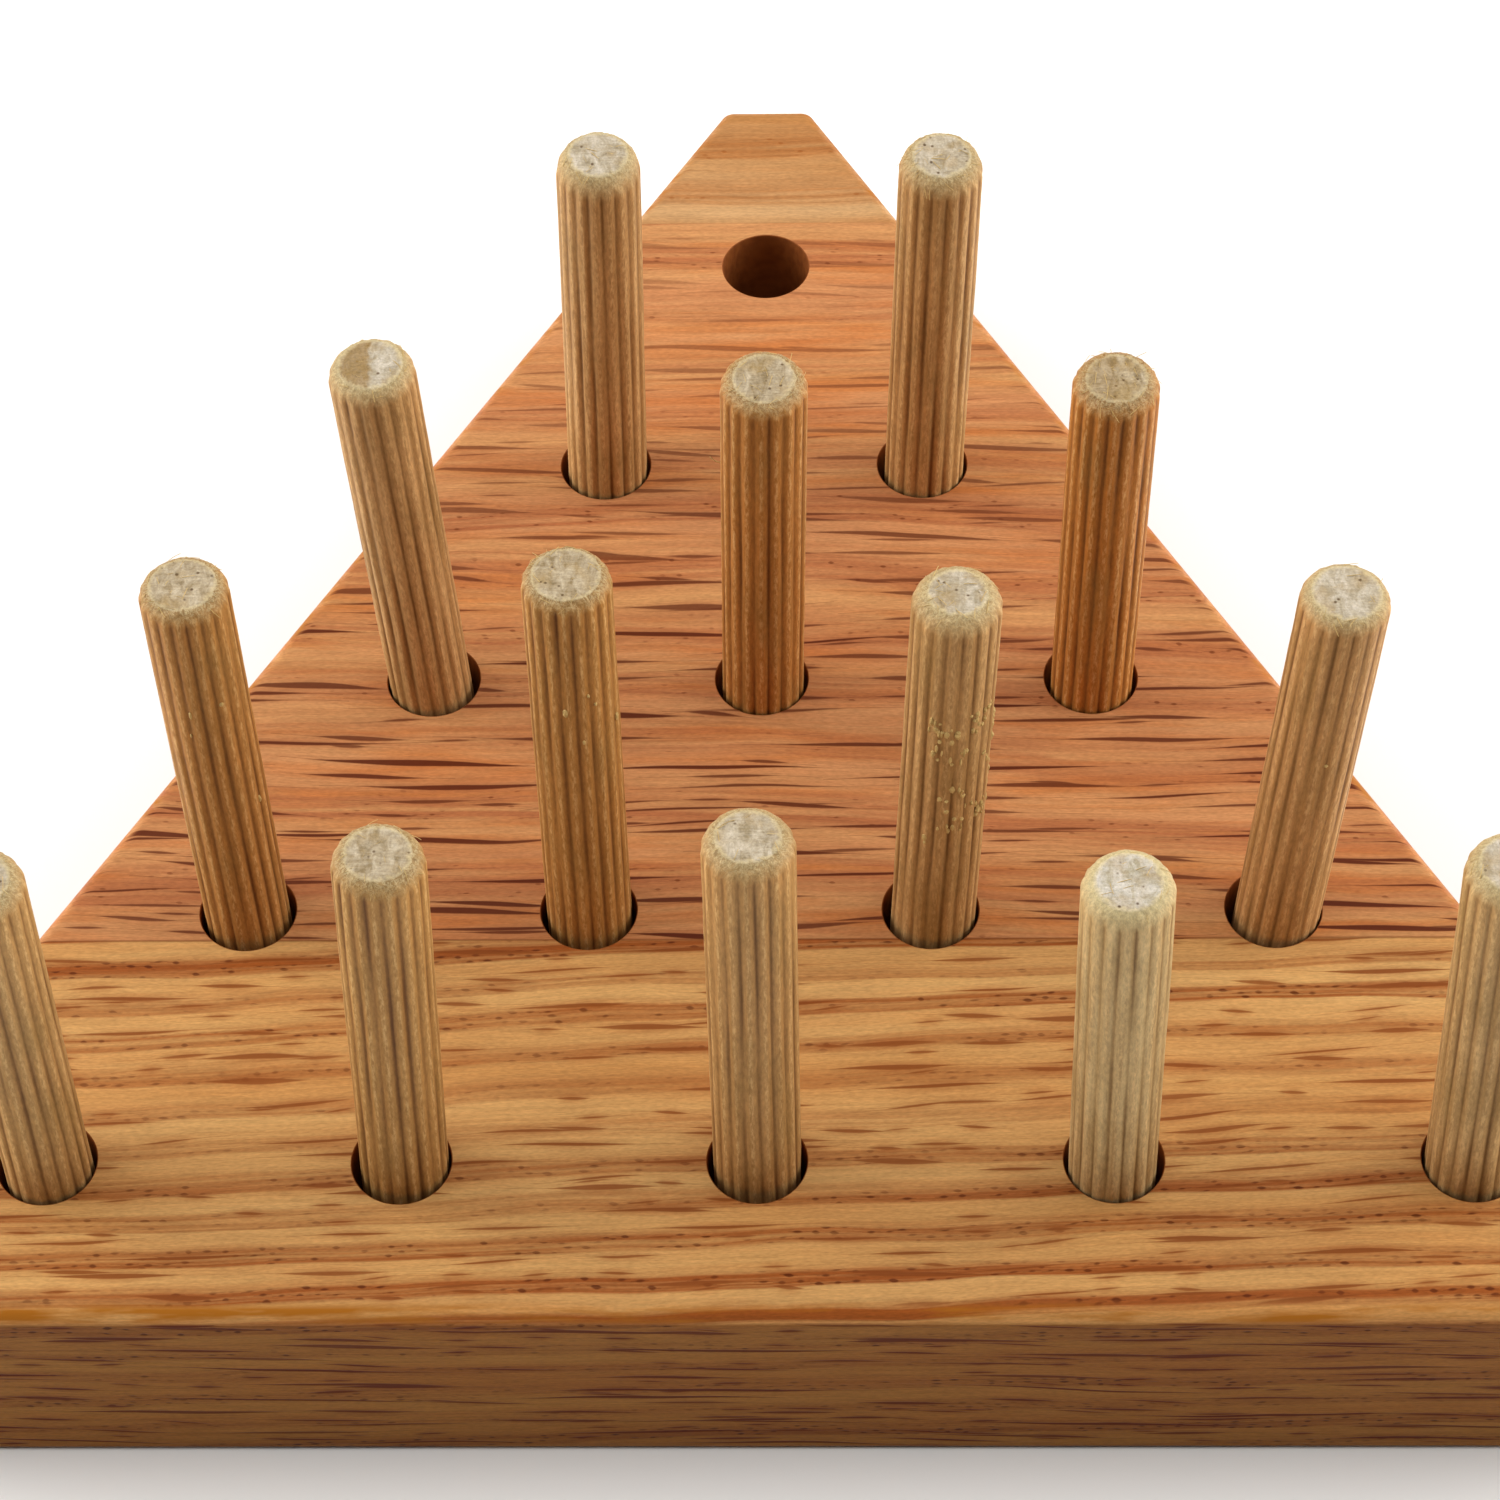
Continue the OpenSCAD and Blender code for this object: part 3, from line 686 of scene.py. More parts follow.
def outline(inset, corner_round):
    """The board's outline, inset, as points: a triangle with its three corners cut across."""
    sides = [(math.radians(-90 + 60 * i), (SIDE_FROM_CENTRE if i % 2 == 0 else CORNER_FROM_CENTRE))
             for i in range(6)]
    points = []
    for i, (a, pa) in enumerate(sides):
        b, pb = sides[(i + 1) % 6]
        pa, pb = pa - inset - corner_round, pb - inset - corner_round
        turn = math.sin(b - a)
        x = (pa * math.sin(b) - pb * math.sin(a)) / turn
        y = (pb * math.cos(a) - pa * math.cos(b)) / turn
        for k in range(CORNER_STEPS + 1):
            t = a + math.radians(60) * k / CORNER_STEPS
            points.append((x + corner_round * math.cos(t), CENTRE_Y + y + corner_round * math.sin(t)))
    return points


def whole_board(settings):
    """The board as one closed mesh, with its rounded top edge and broken lower edge."""
    top, low = settings.edge_round, settings.lower_break
    levels = [(low * (1 - math.sin(a)), low * (1 - math.cos(a)))
              for a in np.linspace(0, math.pi / 2, LOWER_STEPS)]
    levels += [(top * (1 - math.cos(a)), BOARD_T - top * (1 - math.sin(a)))
               for a in np.linspace(0, math.pi / 2, UPPER_STEPS)]
    bm = bmesh.new()
    rings = [[bm.verts.new((x, y, z)) for x, y in outline(inset, settings.corner_round)]
             for inset, z in levels]
    for lower, upper in zip(rings, rings[1:]):
        for i in range(len(lower)):
            j = (i + 1) % len(lower)
            bm.faces.new((lower[i], lower[j], upper[j], upper[i]))
    bm.faces.new(rings[-1])
    bm.faces.new(reversed(rings[0]))
    return bm


def cut_stave(board, span):
    """The slab of the board between the two cuts in span, closed again."""
    bm = board.copy()
    for y, keep in zip(span, (1, -1)):
        cut = bmesh.ops.bisect_plane(
            bm, geom=bm.verts[:] + bm.edges[:] + bm.faces[:], plane_co=(0, y, 0), plane_no=(0, keep, 0),
            clear_inner=True)
        edges = [e for e in cut["geom_cut"] if isinstance(e, bmesh.types.BMEdge)]
        if edges:
            bmesh.ops.contextual_create(bm, geom=edges)
    bmesh.ops.recalc_face_normals(bm, faces=bm.faces[:])
    return bm


def drill_body(settings):
    """What one drilled hole takes away: a flat-bottomed bore with an eased mouth."""
    ease, sides = settings.mouth_ease, BORE_SIDES
    floor_z = BOARD_T - HOLE_DEPTH
    profile = [(HOLE_RADIUS, floor_z)]
    profile += [(HOLE_RADIUS + ease * (1 - math.cos(a)), BOARD_T - ease * (1 - math.sin(a)))
                for a in np.radians((0, 20, 40, 60, 78))]
    profile += [(HOLE_RADIUS + ease * 1.2, BOARD_T + ease * 0.12),
                (HOLE_RADIUS + ease * 1.2, BOARD_T + 2 * MM)]
    bm = bmesh.new()
    rings = [
        [bm.verts.new((r * math.cos(2 * math.pi * i / sides), r * math.sin(2 * math.pi * i / sides), z))
         for i in range(sides)] for r, z in profile]
    for lower, upper in zip(rings, rings[1:]):
        for i in range(sides):
            j = (i + 1) % sides
            bm.faces.new((lower[i], lower[j], upper[j], upper[i]))
    bm.faces.new(rings[-1])
    bm.faces.new(reversed(rings[0]))
    mesh = bpy.data.meshes.new("drill")
    bm.to_mesh(mesh)
    bm.free()
    return mesh


def drilling_tree():
    """Bores the triangle of holes out of a stave: one drill body at each place of the grid."""
    tree = bpy.data.node_groups.new("Drill Peg Holes", "GeometryNodeTree")
    for name, kind in (("Stave", "NodeSocketGeometry"), ("Drill", "NodeSocketObject"),
                       ("Holes", "NodeSocketInt"), ("Pitch", "NodeSocketFloat"),
                       ("Row Gap", "NodeSocketFloat"), ("Apex Place", "NodeSocketFloat"),
                       ("Face", "NodeSocketMaterial"), ("Bore", "NodeSocketMaterial")):
        tree.interface.new_socket(name, in_out="INPUT", socket_type=kind)
    tree.interface.new_socket("Drilled Stave", in_out="OUTPUT", socket_type="NodeSocketGeometry")
    given = add(tree, "NodeGroupInput").node.outputs
    # Row and place in the row, from the number of the hole: rows start at 0, 1, 3, 6 and 10.
    number = add(tree, "GeometryNodeInputIndex")
    eights = add(tree, "ShaderNodeMath", {0: number, 1: 8.0, 2: 1.001}, operation="MULTIPLY_ADD")
    root = add(tree, "ShaderNodeMath", {0: eights}, operation="SQRT")
    halves = add(tree, "ShaderNodeMath", {0: root, 1: 0.5, 2: -0.5}, operation="MULTIPLY_ADD")
    row = add(tree, "ShaderNodeMath", {0: halves}, operation="FLOOR")
    next_row = add(tree, "ShaderNodeMath", {0: row, 1: 1.0}, operation="ADD")
    twice = add(tree, "ShaderNodeMath", {0: row, 1: next_row}, operation="MULTIPLY")
    first = add(tree, "ShaderNodeMath", {0: twice, 1: 0.5}, operation="MULTIPLY")
    place = add(tree, "ShaderNodeMath", {0: number, 1: first}, operation="SUBTRACT")
    off = add(tree, "ShaderNodeMath", {0: row, 1: -0.5, 2: place}, operation="MULTIPLY_ADD")
    x = add(tree, "ShaderNodeMath", {0: off, 1: given["Pitch"]}, operation="MULTIPLY")
    down = add(tree, "ShaderNodeMath", {0: row, 1: given["Row Gap"]}, operation="MULTIPLY")
    y = add(tree, "ShaderNodeMath", {0: given["Apex Place"], 1: down}, operation="SUBTRACT")
    where = add(tree, "ShaderNodeCombineXYZ", {0: x, 1: y})
    points = add(tree, "GeometryNodePoints", {"Count": given["Holes"], "Position": where})
    drill = add(tree, "GeometryNodeObjectInfo", {"Object": given["Drill"]}).node.outputs["Geometry"]
    drills = add(tree, "GeometryNodeInstanceOnPoints", {"Points": points, "Instance": drill})
    bores = add(tree, "GeometryNodeRealizeInstances", {0: drills})
    marked = add(tree, "GeometryNodeStoreNamedAttribute", {
        "Geometry": bores, "Name": "bore", "Value": 1.0},
                 data_type="FLOAT", domain="FACE")
    drilled = add(tree, "GeometryNodeMeshBoolean", {"Mesh 1": given["Stave"], "Mesh 2": marked},
                  operation="DIFFERENCE", solver="EXACT")
    plain = add(tree, "GeometryNodeRealizeInstances", {0: drilled})
    faced = add(tree, "GeometryNodeSetMaterial", {"Geometry": plain, "Material": given["Face"]})
    is_bore = add(tree, "GeometryNodeInputNamedAttribute", {"Name": "bore"}, data_type="FLOAT")
    bored = add(tree, "GeometryNodeSetMaterial", {
        "Geometry": faced, "Selection": is_bore, "Material": given["Bore"]})
    add(tree, "NodeGroupOutput", {0: bored})
    return tree


class PEGGAME_OT_staves(bpy.types.Operator):
    """Builds the three glued staves of the board, with their peg holes"""

    bl_idname = "peggame.staves"
    bl_label = "Build Staves"

    def execute(self, context):
        settings = context.scene.peg_game_board
        dashes, bored, tree = dash_group(), bored_oak(settings.bore_colour), drilling_tree()
        colours = {"front_stave": settings.front_colour, "middle_stave": settings.middle_colour,
                   "rear_stave": settings.rear_colour}
        board = whole_board(settings)
        drill = new_object("drill", drill_body(settings))
        for node, span in STAVES.items():
            mesh = bpy.data.meshes.new(node + "_wood")
            slab = cut_stave(board, span)
            slab.to_mesh(mesh)
            slab.free()
            stave = new_object(node + "_wood", mesh)
            run_tree(stave, tree, {
                "Drill": drill, "Holes": ROWS * (ROWS + 1) // 2, "Pitch": HOLE_PITCH, "Row Gap": ROW_GAP,
                "Apex Place": APEX_HOLE["pos_m"][1],
                "Face": oak(f"red oak, {node}, satin oil", colours[node], OAK_LOOKS[node], dashes),
                "Bore": bored})
            stave.data.shade_smooth()
            stave.data.set_sharp_from_angle(angle=math.radians(35))
            weighted = stave.modifiers.new("flat faces stay flat", "WEIGHTED_NORMAL")
            weighted.weight, weighted.keep_sharp = 100, True
            bake(stave)
            finish_piece(stave, "board", node)
        board.free()
        bpy.data.objects.remove(drill)
        return {"FINISHED"}


# ---------------------------------------------------------------- the pegs

# The peg is bent from a plain rod. These places on the rod are shares of its length, from its middle.
STRAIGHT_TO, ROD_END = 0.40, 0.5
FLUTES_FADE_FROM, FLUTES_FADE_TO = 0.398, 0.466
SHOULDER_FROM, SHOULDER_TO = 0.41, 0.49
FACE_FROM, FACE_TO = 0.492, 0.4999
SHOULDER_SWING = math.radians(66)  # how far the shoulder turns over before the flat face
PER_SQUARE_METRE = 1e6  # of something counted per square millimetre


def peg_tree():
    """A fluted dowel standing on its foot, with rough rounded ends, loose fibres and torn crumbs."""
    tree = bpy.data.node_groups.new("Fluted Dowel", "GeometryNodeTree")
    tree.interface.new_socket("Base", in_out="INPUT", socket_type="NodeSocketGeometry")
    for name in ("Diameter", "Length", "Groove Depth", "End Length", "Flat Diameter", "Rough", "Pale",
                 "Warm", "Fuzz", "Crumbs", "Stain"):
        tree.interface.new_socket(name, in_out="INPUT", socket_type="NodeSocketFloat")
    for name in ("Flutes", "Seed", "Splinters"):
        tree.interface.new_socket(name, in_out="INPUT", socket_type="NodeSocketInt")
    tree.interface.new_socket("Wood", in_out="INPUT", socket_type="NodeSocketMaterial")
    tree.interface.new_socket("Dowel", in_out="OUTPUT", socket_type="NodeSocketGeometry")
    given = add(tree, "NodeGroupInput").node.outputs

    rod = add(tree, "GeometryNodeMeshCylinder", {
        "Vertices": 162, "Side Segments": 128, "Fill Segments": 12, "Radius": 1.0, "Depth": 1.0},
        fill_type="TRIANGLE_FAN")
    at = add(tree, "GeometryNodeInputPosition")
    xyz = add(tree, "ShaderNodeSeparateXYZ", {0: at}).node.outputs
    flat = add(tree, "ShaderNodeCombineXYZ", {0: xyz["X"], 1: xyz["Y"]})
    out = add(tree, "ShaderNodeVectorMath", {0: flat}, operation="LENGTH").node.outputs["Value"]
    direction = add(tree, "ShaderNodeVectorMath", {0: flat}, operation="NORMALIZE")
    angle = add(tree, "ShaderNodeMath", {0: xyz["Y"], 1: xyz["X"]}, operation="ARCTAN2")
    upper = add(tree, "ShaderNodeMath", {0: xyz["Z"]}, operation="SIGN")
    from_middle = add(tree, "ShaderNodeMath", {0: xyz["Z"]}, operation="ABSOLUTE")

    # Rows are spread evenly up the straight part, and by angle over the rounded shoulder.
    swing = add(tree, "ShaderNodeMapRange", {
        "Value": from_middle, "From Min": STRAIGHT_TO, "From Max": ROD_END, "To Max": SHOULDER_SWING})
    sine = add(tree, "ShaderNodeMath", {0: swing}, operation="SINE")
    cosine = add(tree, "ShaderNodeMath", {0: swing}, operation="COSINE")
    rise = add(tree, "ShaderNodeMath", {0: sine, 1: 1 / math.sin(SHOULDER_SWING)}, operation="MULTIPLY")
    half_length = add(tree, "ShaderNodeMath", {0: given["Length"], 1: 0.5}, operation="MULTIPLY")
    straight = add(tree, "ShaderNodeMath", {
        0: half_length, 1: given["End Length"]}, operation="SUBTRACT")
    climb = add(tree, "ShaderNodeMapRange", {
        "Value": from_middle, "From Max": STRAIGHT_TO, "To Max": straight})
    half_up = add(tree, "ShaderNodeMath", {
        0: rise, 1: given["End Length"], 2: climb}, operation="MULTIPLY_ADD")
    height = add(tree, "ShaderNodeMath", {0: half_up, 1: upper}, operation="MULTIPLY")
    radius = add(tree, "ShaderNodeMath", {0: given["Diameter"], 1: 0.5}, operation="MULTIPLY")
    flat_radius = add(tree, "ShaderNodeMath", {0: given["Flat Diameter"], 1: 0.5}, operation="MULTIPLY")
    drawn_in = add(tree, "ShaderNodeMapRange", {
        "Value": cosine, "From Min": 1.0, "From Max": math.cos(SHOULDER_SWING), "To Min": radius,
        "To Max": flat_radius})

    # Where this point is on the finished peg, in millimetres, moved on by the seed: the grain's place.
    round_place = add(tree, "ShaderNodeVectorMath", {0: flat, "Scale": drawn_in}, operation="SCALE")
    up_vector = add(tree, "ShaderNodeCombineXYZ", {2: height})
    plain = add(tree, "ShaderNodeVectorMath", {0: round_place, 1: up_vector}, operation="ADD")
    plain_mm = add(tree, "ShaderNodeVectorMath", {0: plain, "Scale": 1000.0}, operation="SCALE")
    seed_step = add(tree, "ShaderNodeVectorMath", {
        0: (3.71, 5.23, 7.37), "Scale": given["Seed"]}, operation="SCALE")
    grain_place = add(tree, "ShaderNodeVectorMath", {0: plain_mm, 1: seed_step}, operation="ADD")

    # Flutes: round ridges and narrow grooves, each with its own depth, fading out on the shoulder.
    wander_at = add(tree, "ShaderNodeVectorMath", {
        0: grain_place, 1: (0.16, 0.16, 0.04)}, operation="MULTIPLY")
    wander = add(tree, "ShaderNodeTexNoise", {"Vector": wander_at, "Scale": 1, "Detail": 1})
    turned = add(tree, "ShaderNodeMath", {0: wander, 1: 0.10, 2: angle}, operation="MULTIPLY_ADD")
    half_flutes = add(tree, "ShaderNodeMath", {0: given["Flutes"], 1: 0.5}, operation="MULTIPLY")
    wave = add(tree, "ShaderNodeMath", {0: turned, 1: half_flutes}, operation="MULTIPLY")
    crest = add(tree, "ShaderNodeMath", {0: wave}, operation="SINE")
    ridge = add(tree, "ShaderNodeMath", {0: crest}, operation="ABSOLUTE")
    shaped = add(tree, "ShaderNodeMath", {0: ridge, 1: 0.8}, operation="POWER")
    valley = add(tree, "ShaderNodeMath", {0: 1.0, 1: shaped}, operation="SUBTRACT")
    uneven_at = add(tree, "ShaderNodeVectorMath", {
        0: grain_place, 1: (0.9, 0.9, 0.06)}, operation="MULTIPLY")
    uneven = add(tree, "ShaderNodeTexNoise", {"Vector": uneven_at, "Scale": 1, "Detail": 2})
    share = add(tree, "ShaderNodeMapRange", {
        "Value": uneven, "From Min": 0.3, "From Max": 0.7, "To Min": 0.5, "To Max": 1.15})
    stop = add(tree, "ShaderNodeMapRange", {
        "Value": from_middle, "From Min": FLUTES_FADE_FROM, "From Max": FLUTES_FADE_TO,
        "To Min": 1, "To Max": 0},
        interpolation_type="SMOOTHSTEP")
    amount = add(tree, "ShaderNodeMath", {0: share, 1: stop}, operation="MULTIPLY")
    groove = add(tree, "ShaderNodeMath", {0: valley, 1: amount}, operation="MULTIPLY")
    dip = add(tree, "ShaderNodeMath", {0: groove, 1: given["Groove Depth"]}, operation="MULTIPLY")

    # Roughness: fibres along the peg, and lumps on the shoulder and the sawn face.
    shoulder = add(tree, "ShaderNodeMapRange", {
        "Value": from_middle, "From Min": SHOULDER_FROM, "From Max": SHOULDER_TO})
    fibre_at = add(tree, "ShaderNodeVectorMath", {
        0: grain_place, 1: (2.8, 2.8, 0.14)}, operation="MULTIPLY")
    fibre = add(tree, "ShaderNodeTexNoise", {"Vector": fibre_at, "Scale": 1, "Detail": 2})
    lump_at = add(tree, "ShaderNodeVectorMath", {
        0: grain_place, 1: (1.5, 1.5, 1.1)}, operation="MULTIPLY")
    lump = add(tree, "ShaderNodeTexNoise", {
        "Vector": lump_at, "Scale": 1, "Detail": 3, "Roughness": 0.6})
    fibre_push = add(tree, "ShaderNodeMapRange", {
        "Value": fibre, "From Min": 0.25, "From Max": 0.75, "To Min": -0.06 * MM, "To Max": 0.0})
    lump_push = add(tree, "ShaderNodeMapRange", {
        "Value": lump, "From Min": 0.25, "From Max": 0.75, "To Min": -0.15 * MM, "To Max": 0.0})
    lump_share = add(tree, "ShaderNodeMath", {0: shoulder, 1: given["Rough"]}, operation="MULTIPLY")
    lumps = add(tree, "ShaderNodeMath", {
        0: lump_push, 1: lump_share, 2: fibre_push}, operation="MULTIPLY_ADD")
    sunk = add(tree, "ShaderNodeMath", {0: lumps, 1: dip}, operation="SUBTRACT")
    on_side = add(tree, "ShaderNodeMath", {0: drawn_in, 1: sunk}, operation="ADD")
    final_out = add(tree, "ShaderNodeMath", {0: on_side, 1: out}, operation="MULTIPLY")
    final_round = add(tree, "ShaderNodeVectorMath", {
        0: direction, "Scale": final_out}, operation="SCALE")
    drop = add(tree, "ShaderNodeMath", {0: lump_push, 1: lump_share}, operation="MULTIPLY")
    drop_up = add(tree, "ShaderNodeMath", {0: drop, 1: upper}, operation="MULTIPLY")
    final_up = add(tree, "ShaderNodeMath", {0: height, 1: drop_up}, operation="ADD")
    lifted = add(tree, "ShaderNodeMath", {0: final_up, 1: half_length}, operation="ADD")
    up = add(tree, "ShaderNodeCombineXYZ", {2: lifted})
    final = add(tree, "ShaderNodeVectorMath", {0: final_round, 1: up}, operation="ADD")

    # The sawn face reaches an uneven rim.
    rim_noise = add(tree, "ShaderNodeMath", {0: lump, 1: 0.5, 2: out}, operation="MULTIPLY_ADD")
    inner = add(tree, "ShaderNodeMapRange", {
        "Value": rim_noise, "From Min": 1.16, "From Max": 1.34, "To Min": 1, "To Max": 0})
    at_end = add(tree, "ShaderNodeMapRange", {
        "Value": from_middle, "From Min": FACE_FROM, "From Max": FACE_TO})
    face = add(tree, "ShaderNodeMath", {0: inner, 1: at_end}, operation="MULTIPLY")

    # A stain reaches over the left half of the face, with a wavy edge.
    wavy = add(tree, "ShaderNodeMath", {0: lump, 1: 0.6, 2: xyz["X"]}, operation="MULTIPLY_ADD")
    left = add(tree, "ShaderNodeMapRange", {
        "Value": wavy, "From Min": 0.22, "From Max": 0.36, "To Min": 1, "To Max": 0})
    stain = add(tree, "ShaderNodeMath", {0: left, 1: given["Stain"]}, operation="MULTIPLY")

    body = rod
    for name, value, kind in (("grain_place", grain_place, "FLOAT_VECTOR"), ("groove", groove, "FLOAT"),
                              ("end_face", face, "FLOAT"), ("shoulder", shoulder, "FLOAT"),
                              ("stain", stain, "FLOAT")):
        body = add(tree, "GeometryNodeStoreNamedAttribute", {
            "Geometry": body, "Name": name, "Value": value},
                   data_type=kind, domain="POINT")
    body = add(tree, "GeometryNodeSetPosition", {"Geometry": body, "Position": final})
    body = add(tree, "GeometryNodeSetShadeSmooth", {0: body})

    # Loose fibres on the upper shoulder: short curved threads of three sides.
    here = add(tree, "GeometryNodeInputPosition")
    here_xyz = add(tree, "ShaderNodeSeparateXYZ", {0: here}).node.outputs
    upper_half = add(tree, "ShaderNodeMath", {
        0: here_xyz["Z"], 1: half_length}, operation="GREATER_THAN")
    thread = add(tree, "GeometryNodeCurveQuadraticBezier", {
        "Resolution": 4, "Start": (0, 0, -0.05 * MM), "Middle": (0.3 * MM, 0, 0.12 * MM),
        "End": (0.9 * MM, 0.1 * MM, 0.10 * MM)})
    thin = add(tree, "GeometryNodeCurvePrimitiveCircle", {"Resolution": 3, "Radius": 0.02 * MM})
    thread_mesh = add(tree, "GeometryNodeCurveToMesh", {
        "Curve": thread, "Profile Curve": thin, "Fill Caps": True})
    stored_shoulder = add(tree, "GeometryNodeInputNamedAttribute", {
        "Name": "shoulder"}, data_type="FLOAT")
    top_end = add(tree, "ShaderNodeMath", {0: upper_half, 1: stored_shoulder}, operation="MULTIPLY")
    on_shoulder = add(tree, "ShaderNodeMath", {0: top_end, 1: 0.5}, operation="GREATER_THAN")
    per_metre = add(tree, "ShaderNodeMath", {
        0: given["Fuzz"], 1: PER_SQUARE_METRE}, operation="MULTIPLY")
    density = add(tree, "ShaderNodeMath", {0: per_metre, 1: on_shoulder}, operation="MULTIPLY")
    spots = add(tree, "GeometryNodeDistributePointsOnFaces", {
        "Mesh": body, "Density": density, "Seed": given["Seed"]}).node.outputs
    spin = add(tree, "FunctionNodeRandomValue", {"Max": (0.35, 0.35, 6.283), "Seed": given["Seed"]},
               data_type="FLOAT_VECTOR")
    spun = add(tree, "FunctionNodeRotateRotation", {"Rotation": spots["Rotation"], "Rotate By": spin},
               rotation_space="LOCAL")
    grow = add(tree, "FunctionNodeRandomValue", {
        2: 0.5, 3: 1.3, "Seed": given["Seed"]}, data_type="FLOAT")
    threads = add(tree, "GeometryNodeInstanceOnPoints", {
        "Points": spots["Points"], "Instance": thread_mesh, "Rotation": spun, "Scale": grow})

    # Torn crumbs: small flattened grains in a band below the top, towards the front and right.
    grain_ball = add(tree, "GeometryNodeMeshIcoSphere", {"Radius": 0.20 * MM, "Subdivisions": 1})
    low = add(tree, "ShaderNodeMath", {0: here_xyz["Z"], 1: 26 * MM}, operation="GREATER_THAN")
    high = add(tree, "ShaderNodeMath", {0: here_xyz["Z"], 1: 41 * MM}, operation="LESS_THAN")
    lean = add(tree, "ShaderNodeMath", {0: here_xyz["X"], 1: here_xyz["Y"]}, operation="SUBTRACT")
    front = add(tree, "ShaderNodeMath", {0: lean, 1: 1.2 * MM}, operation="GREATER_THAN")
    belt = add(tree, "ShaderNodeMath", {0: low, 1: high}, operation="MULTIPLY")
    patch = add(tree, "ShaderNodeMath", {0: belt, 1: front}, operation="MULTIPLY")
    crumbs_metre = add(tree, "ShaderNodeMath", {
        0: given["Crumbs"], 1: PER_SQUARE_METRE}, operation="MULTIPLY")
    clump_at = add(tree, "ShaderNodeVectorMath", {0: here, 1: (700, 700, 400)}, operation="MULTIPLY")
    clump = add(tree, "ShaderNodeTexNoise", {"Vector": clump_at, "Scale": 1, "Detail": 1})
    clumped = add(tree, "ShaderNodeMapRange", {
        "Value": clump, "From Min": 0.5, "From Max": 0.58, "To Max": 5.0})
    crumb_share = add(tree, "ShaderNodeMath", {0: patch, 1: clumped}, operation="MULTIPLY")
    crumb_density = add(tree, "ShaderNodeMath", {0: crumbs_metre, 1: crumb_share}, operation="MULTIPLY")
    crumb_spots = add(tree, "GeometryNodeDistributePointsOnFaces", {
        "Mesh": body, "Density": crumb_density, "Seed": given["Seed"]}).node.outputs
    crumb_size = add(tree, "FunctionNodeRandomValue", {0: (0.4, 0.6, 0.4), 1: (1.2, 2.6, 1.1),
                                                       "Seed": given["Seed"]}, data_type="FLOAT_VECTOR")
    crumbs = add(tree, "GeometryNodeInstanceOnPoints", {
        "Points": crumb_spots["Points"], "Instance": grain_ball, "Rotation": crumb_spots["Rotation"],
        "Scale": crumb_size})
    # A splinter: one curled fibre standing out from the left flank, 9 mm below the top.
    splinter_at = add(tree, "GeometryNodePoints", {
        "Count": given["Splinters"], "Position": (-3.0 * MM, -0.4 * MM, 41.6 * MM)})
    splinters = add(tree, "GeometryNodeInstanceOnPoints", {
        "Points": splinter_at, "Instance": thread_mesh, "Rotation": (0.3, -2.3, 0.0),
        "Scale": (1.1, 2.4, 2.4)})
    bits = add(tree, "GeometryNodeJoinGeometry")
    join_bits = tree.nodes[-1]
    for part in (splinters, crumbs, threads):
        tree.links.new(part, join_bits.inputs[0])
    loose_bits = add(tree, "GeometryNodeRealizeInstances", {0: bits})
    marked = add(tree, "GeometryNodeStoreNamedAttribute", {
        "Geometry": loose_bits, "Name": "loose", "Value": 1.0},
                 data_type="FLOAT", domain="POINT")

    everything = add(tree, "GeometryNodeJoinGeometry")
    join_all = tree.nodes[-1]
    for part in (marked, body):
        tree.links.new(part, join_all.inputs[0])
    tinted = everything
    for name, socket in (("pale", "Pale"), ("warm", "Warm")):
        tinted = add(tree, "GeometryNodeStoreNamedAttribute", {
            "Geometry": tinted, "Name": name, "Value": given[socket]}, data_type="FLOAT", domain="POINT")
    real = add(tree, "GeometryNodeRealizeInstances", {0: tinted})
    finished = add(tree, "GeometryNodeSetMaterial", {"Geometry": real, "Material": given["Wood"]})
    add(tree, "NodeGroupOutput", {0: finished})
    return tree


def peg_place(name):
    """The turn and place that stand a peg on the foot of its CAD node, along its joint's axis."""
    axis = Vector(next(j["axis"] for j in frame["joints"] if j["child"] == name)).normalized()
    co = np.array([v.co for v in frame["nodes"][name].data.vertices])
    side = axis.orthogonal().normalized()
    other = axis.cross(side)
    foot = (co @ np.array(axis)).min() * axis
    for direction in (side, other):
        spread = co @ np.array(direction)
        foot += direction * ((spread.min() + spread.max()) / 2)
    turn = Vector((0, 0, 1)).rotation_difference(axis).to_matrix().to_4x4()
    return Matrix.Translation(foot) @ turn


class PEGGAME_OT_pegs(bpy.types.Operator):
    """Builds the fourteen fluted pegs, each standing in its hole"""

    bl_idname = "peggame.pegs"
    bl_label = "Build Pegs"

    def execute(self, context):
        settings = context.scene.peg_game_pegs
        tree, wood = peg_tree(), birch(settings)
        for name, look in PEG_LOOKS.items():
            peg = new_object(name + "_dowel", bpy.data.meshes.new(name + "_dowel"))
            run_tree(peg, tree, {
                "Diameter": settings.diameter, "Length": settings.length, "Flutes": settings.flutes,
                "Groove Depth": settings.groove_depth * look["groove"],
                "End Length": settings.end_length * look["end"] / USUAL_END_MM,
                "Flat Diameter": settings.flat_diameter * look["flat"] / USUAL_FLAT_MM,
                "Rough": float(look["rough"]),
                "Pale": look["pale"], "Warm": look["warm"], "Fuzz": float(look["fuzz"]),
                "Crumbs": float(look["crumbs"]), "Stain": float(look["stain"]),
                "Splinters": look["splinters"], "Seed": look["seed"], "Wood": wood})
            peg.data.transform(peg_place(name))
            finish_piece(peg, name, name)
        return {"FINISHED"}


# ---------------------------------------------------------------- the stage

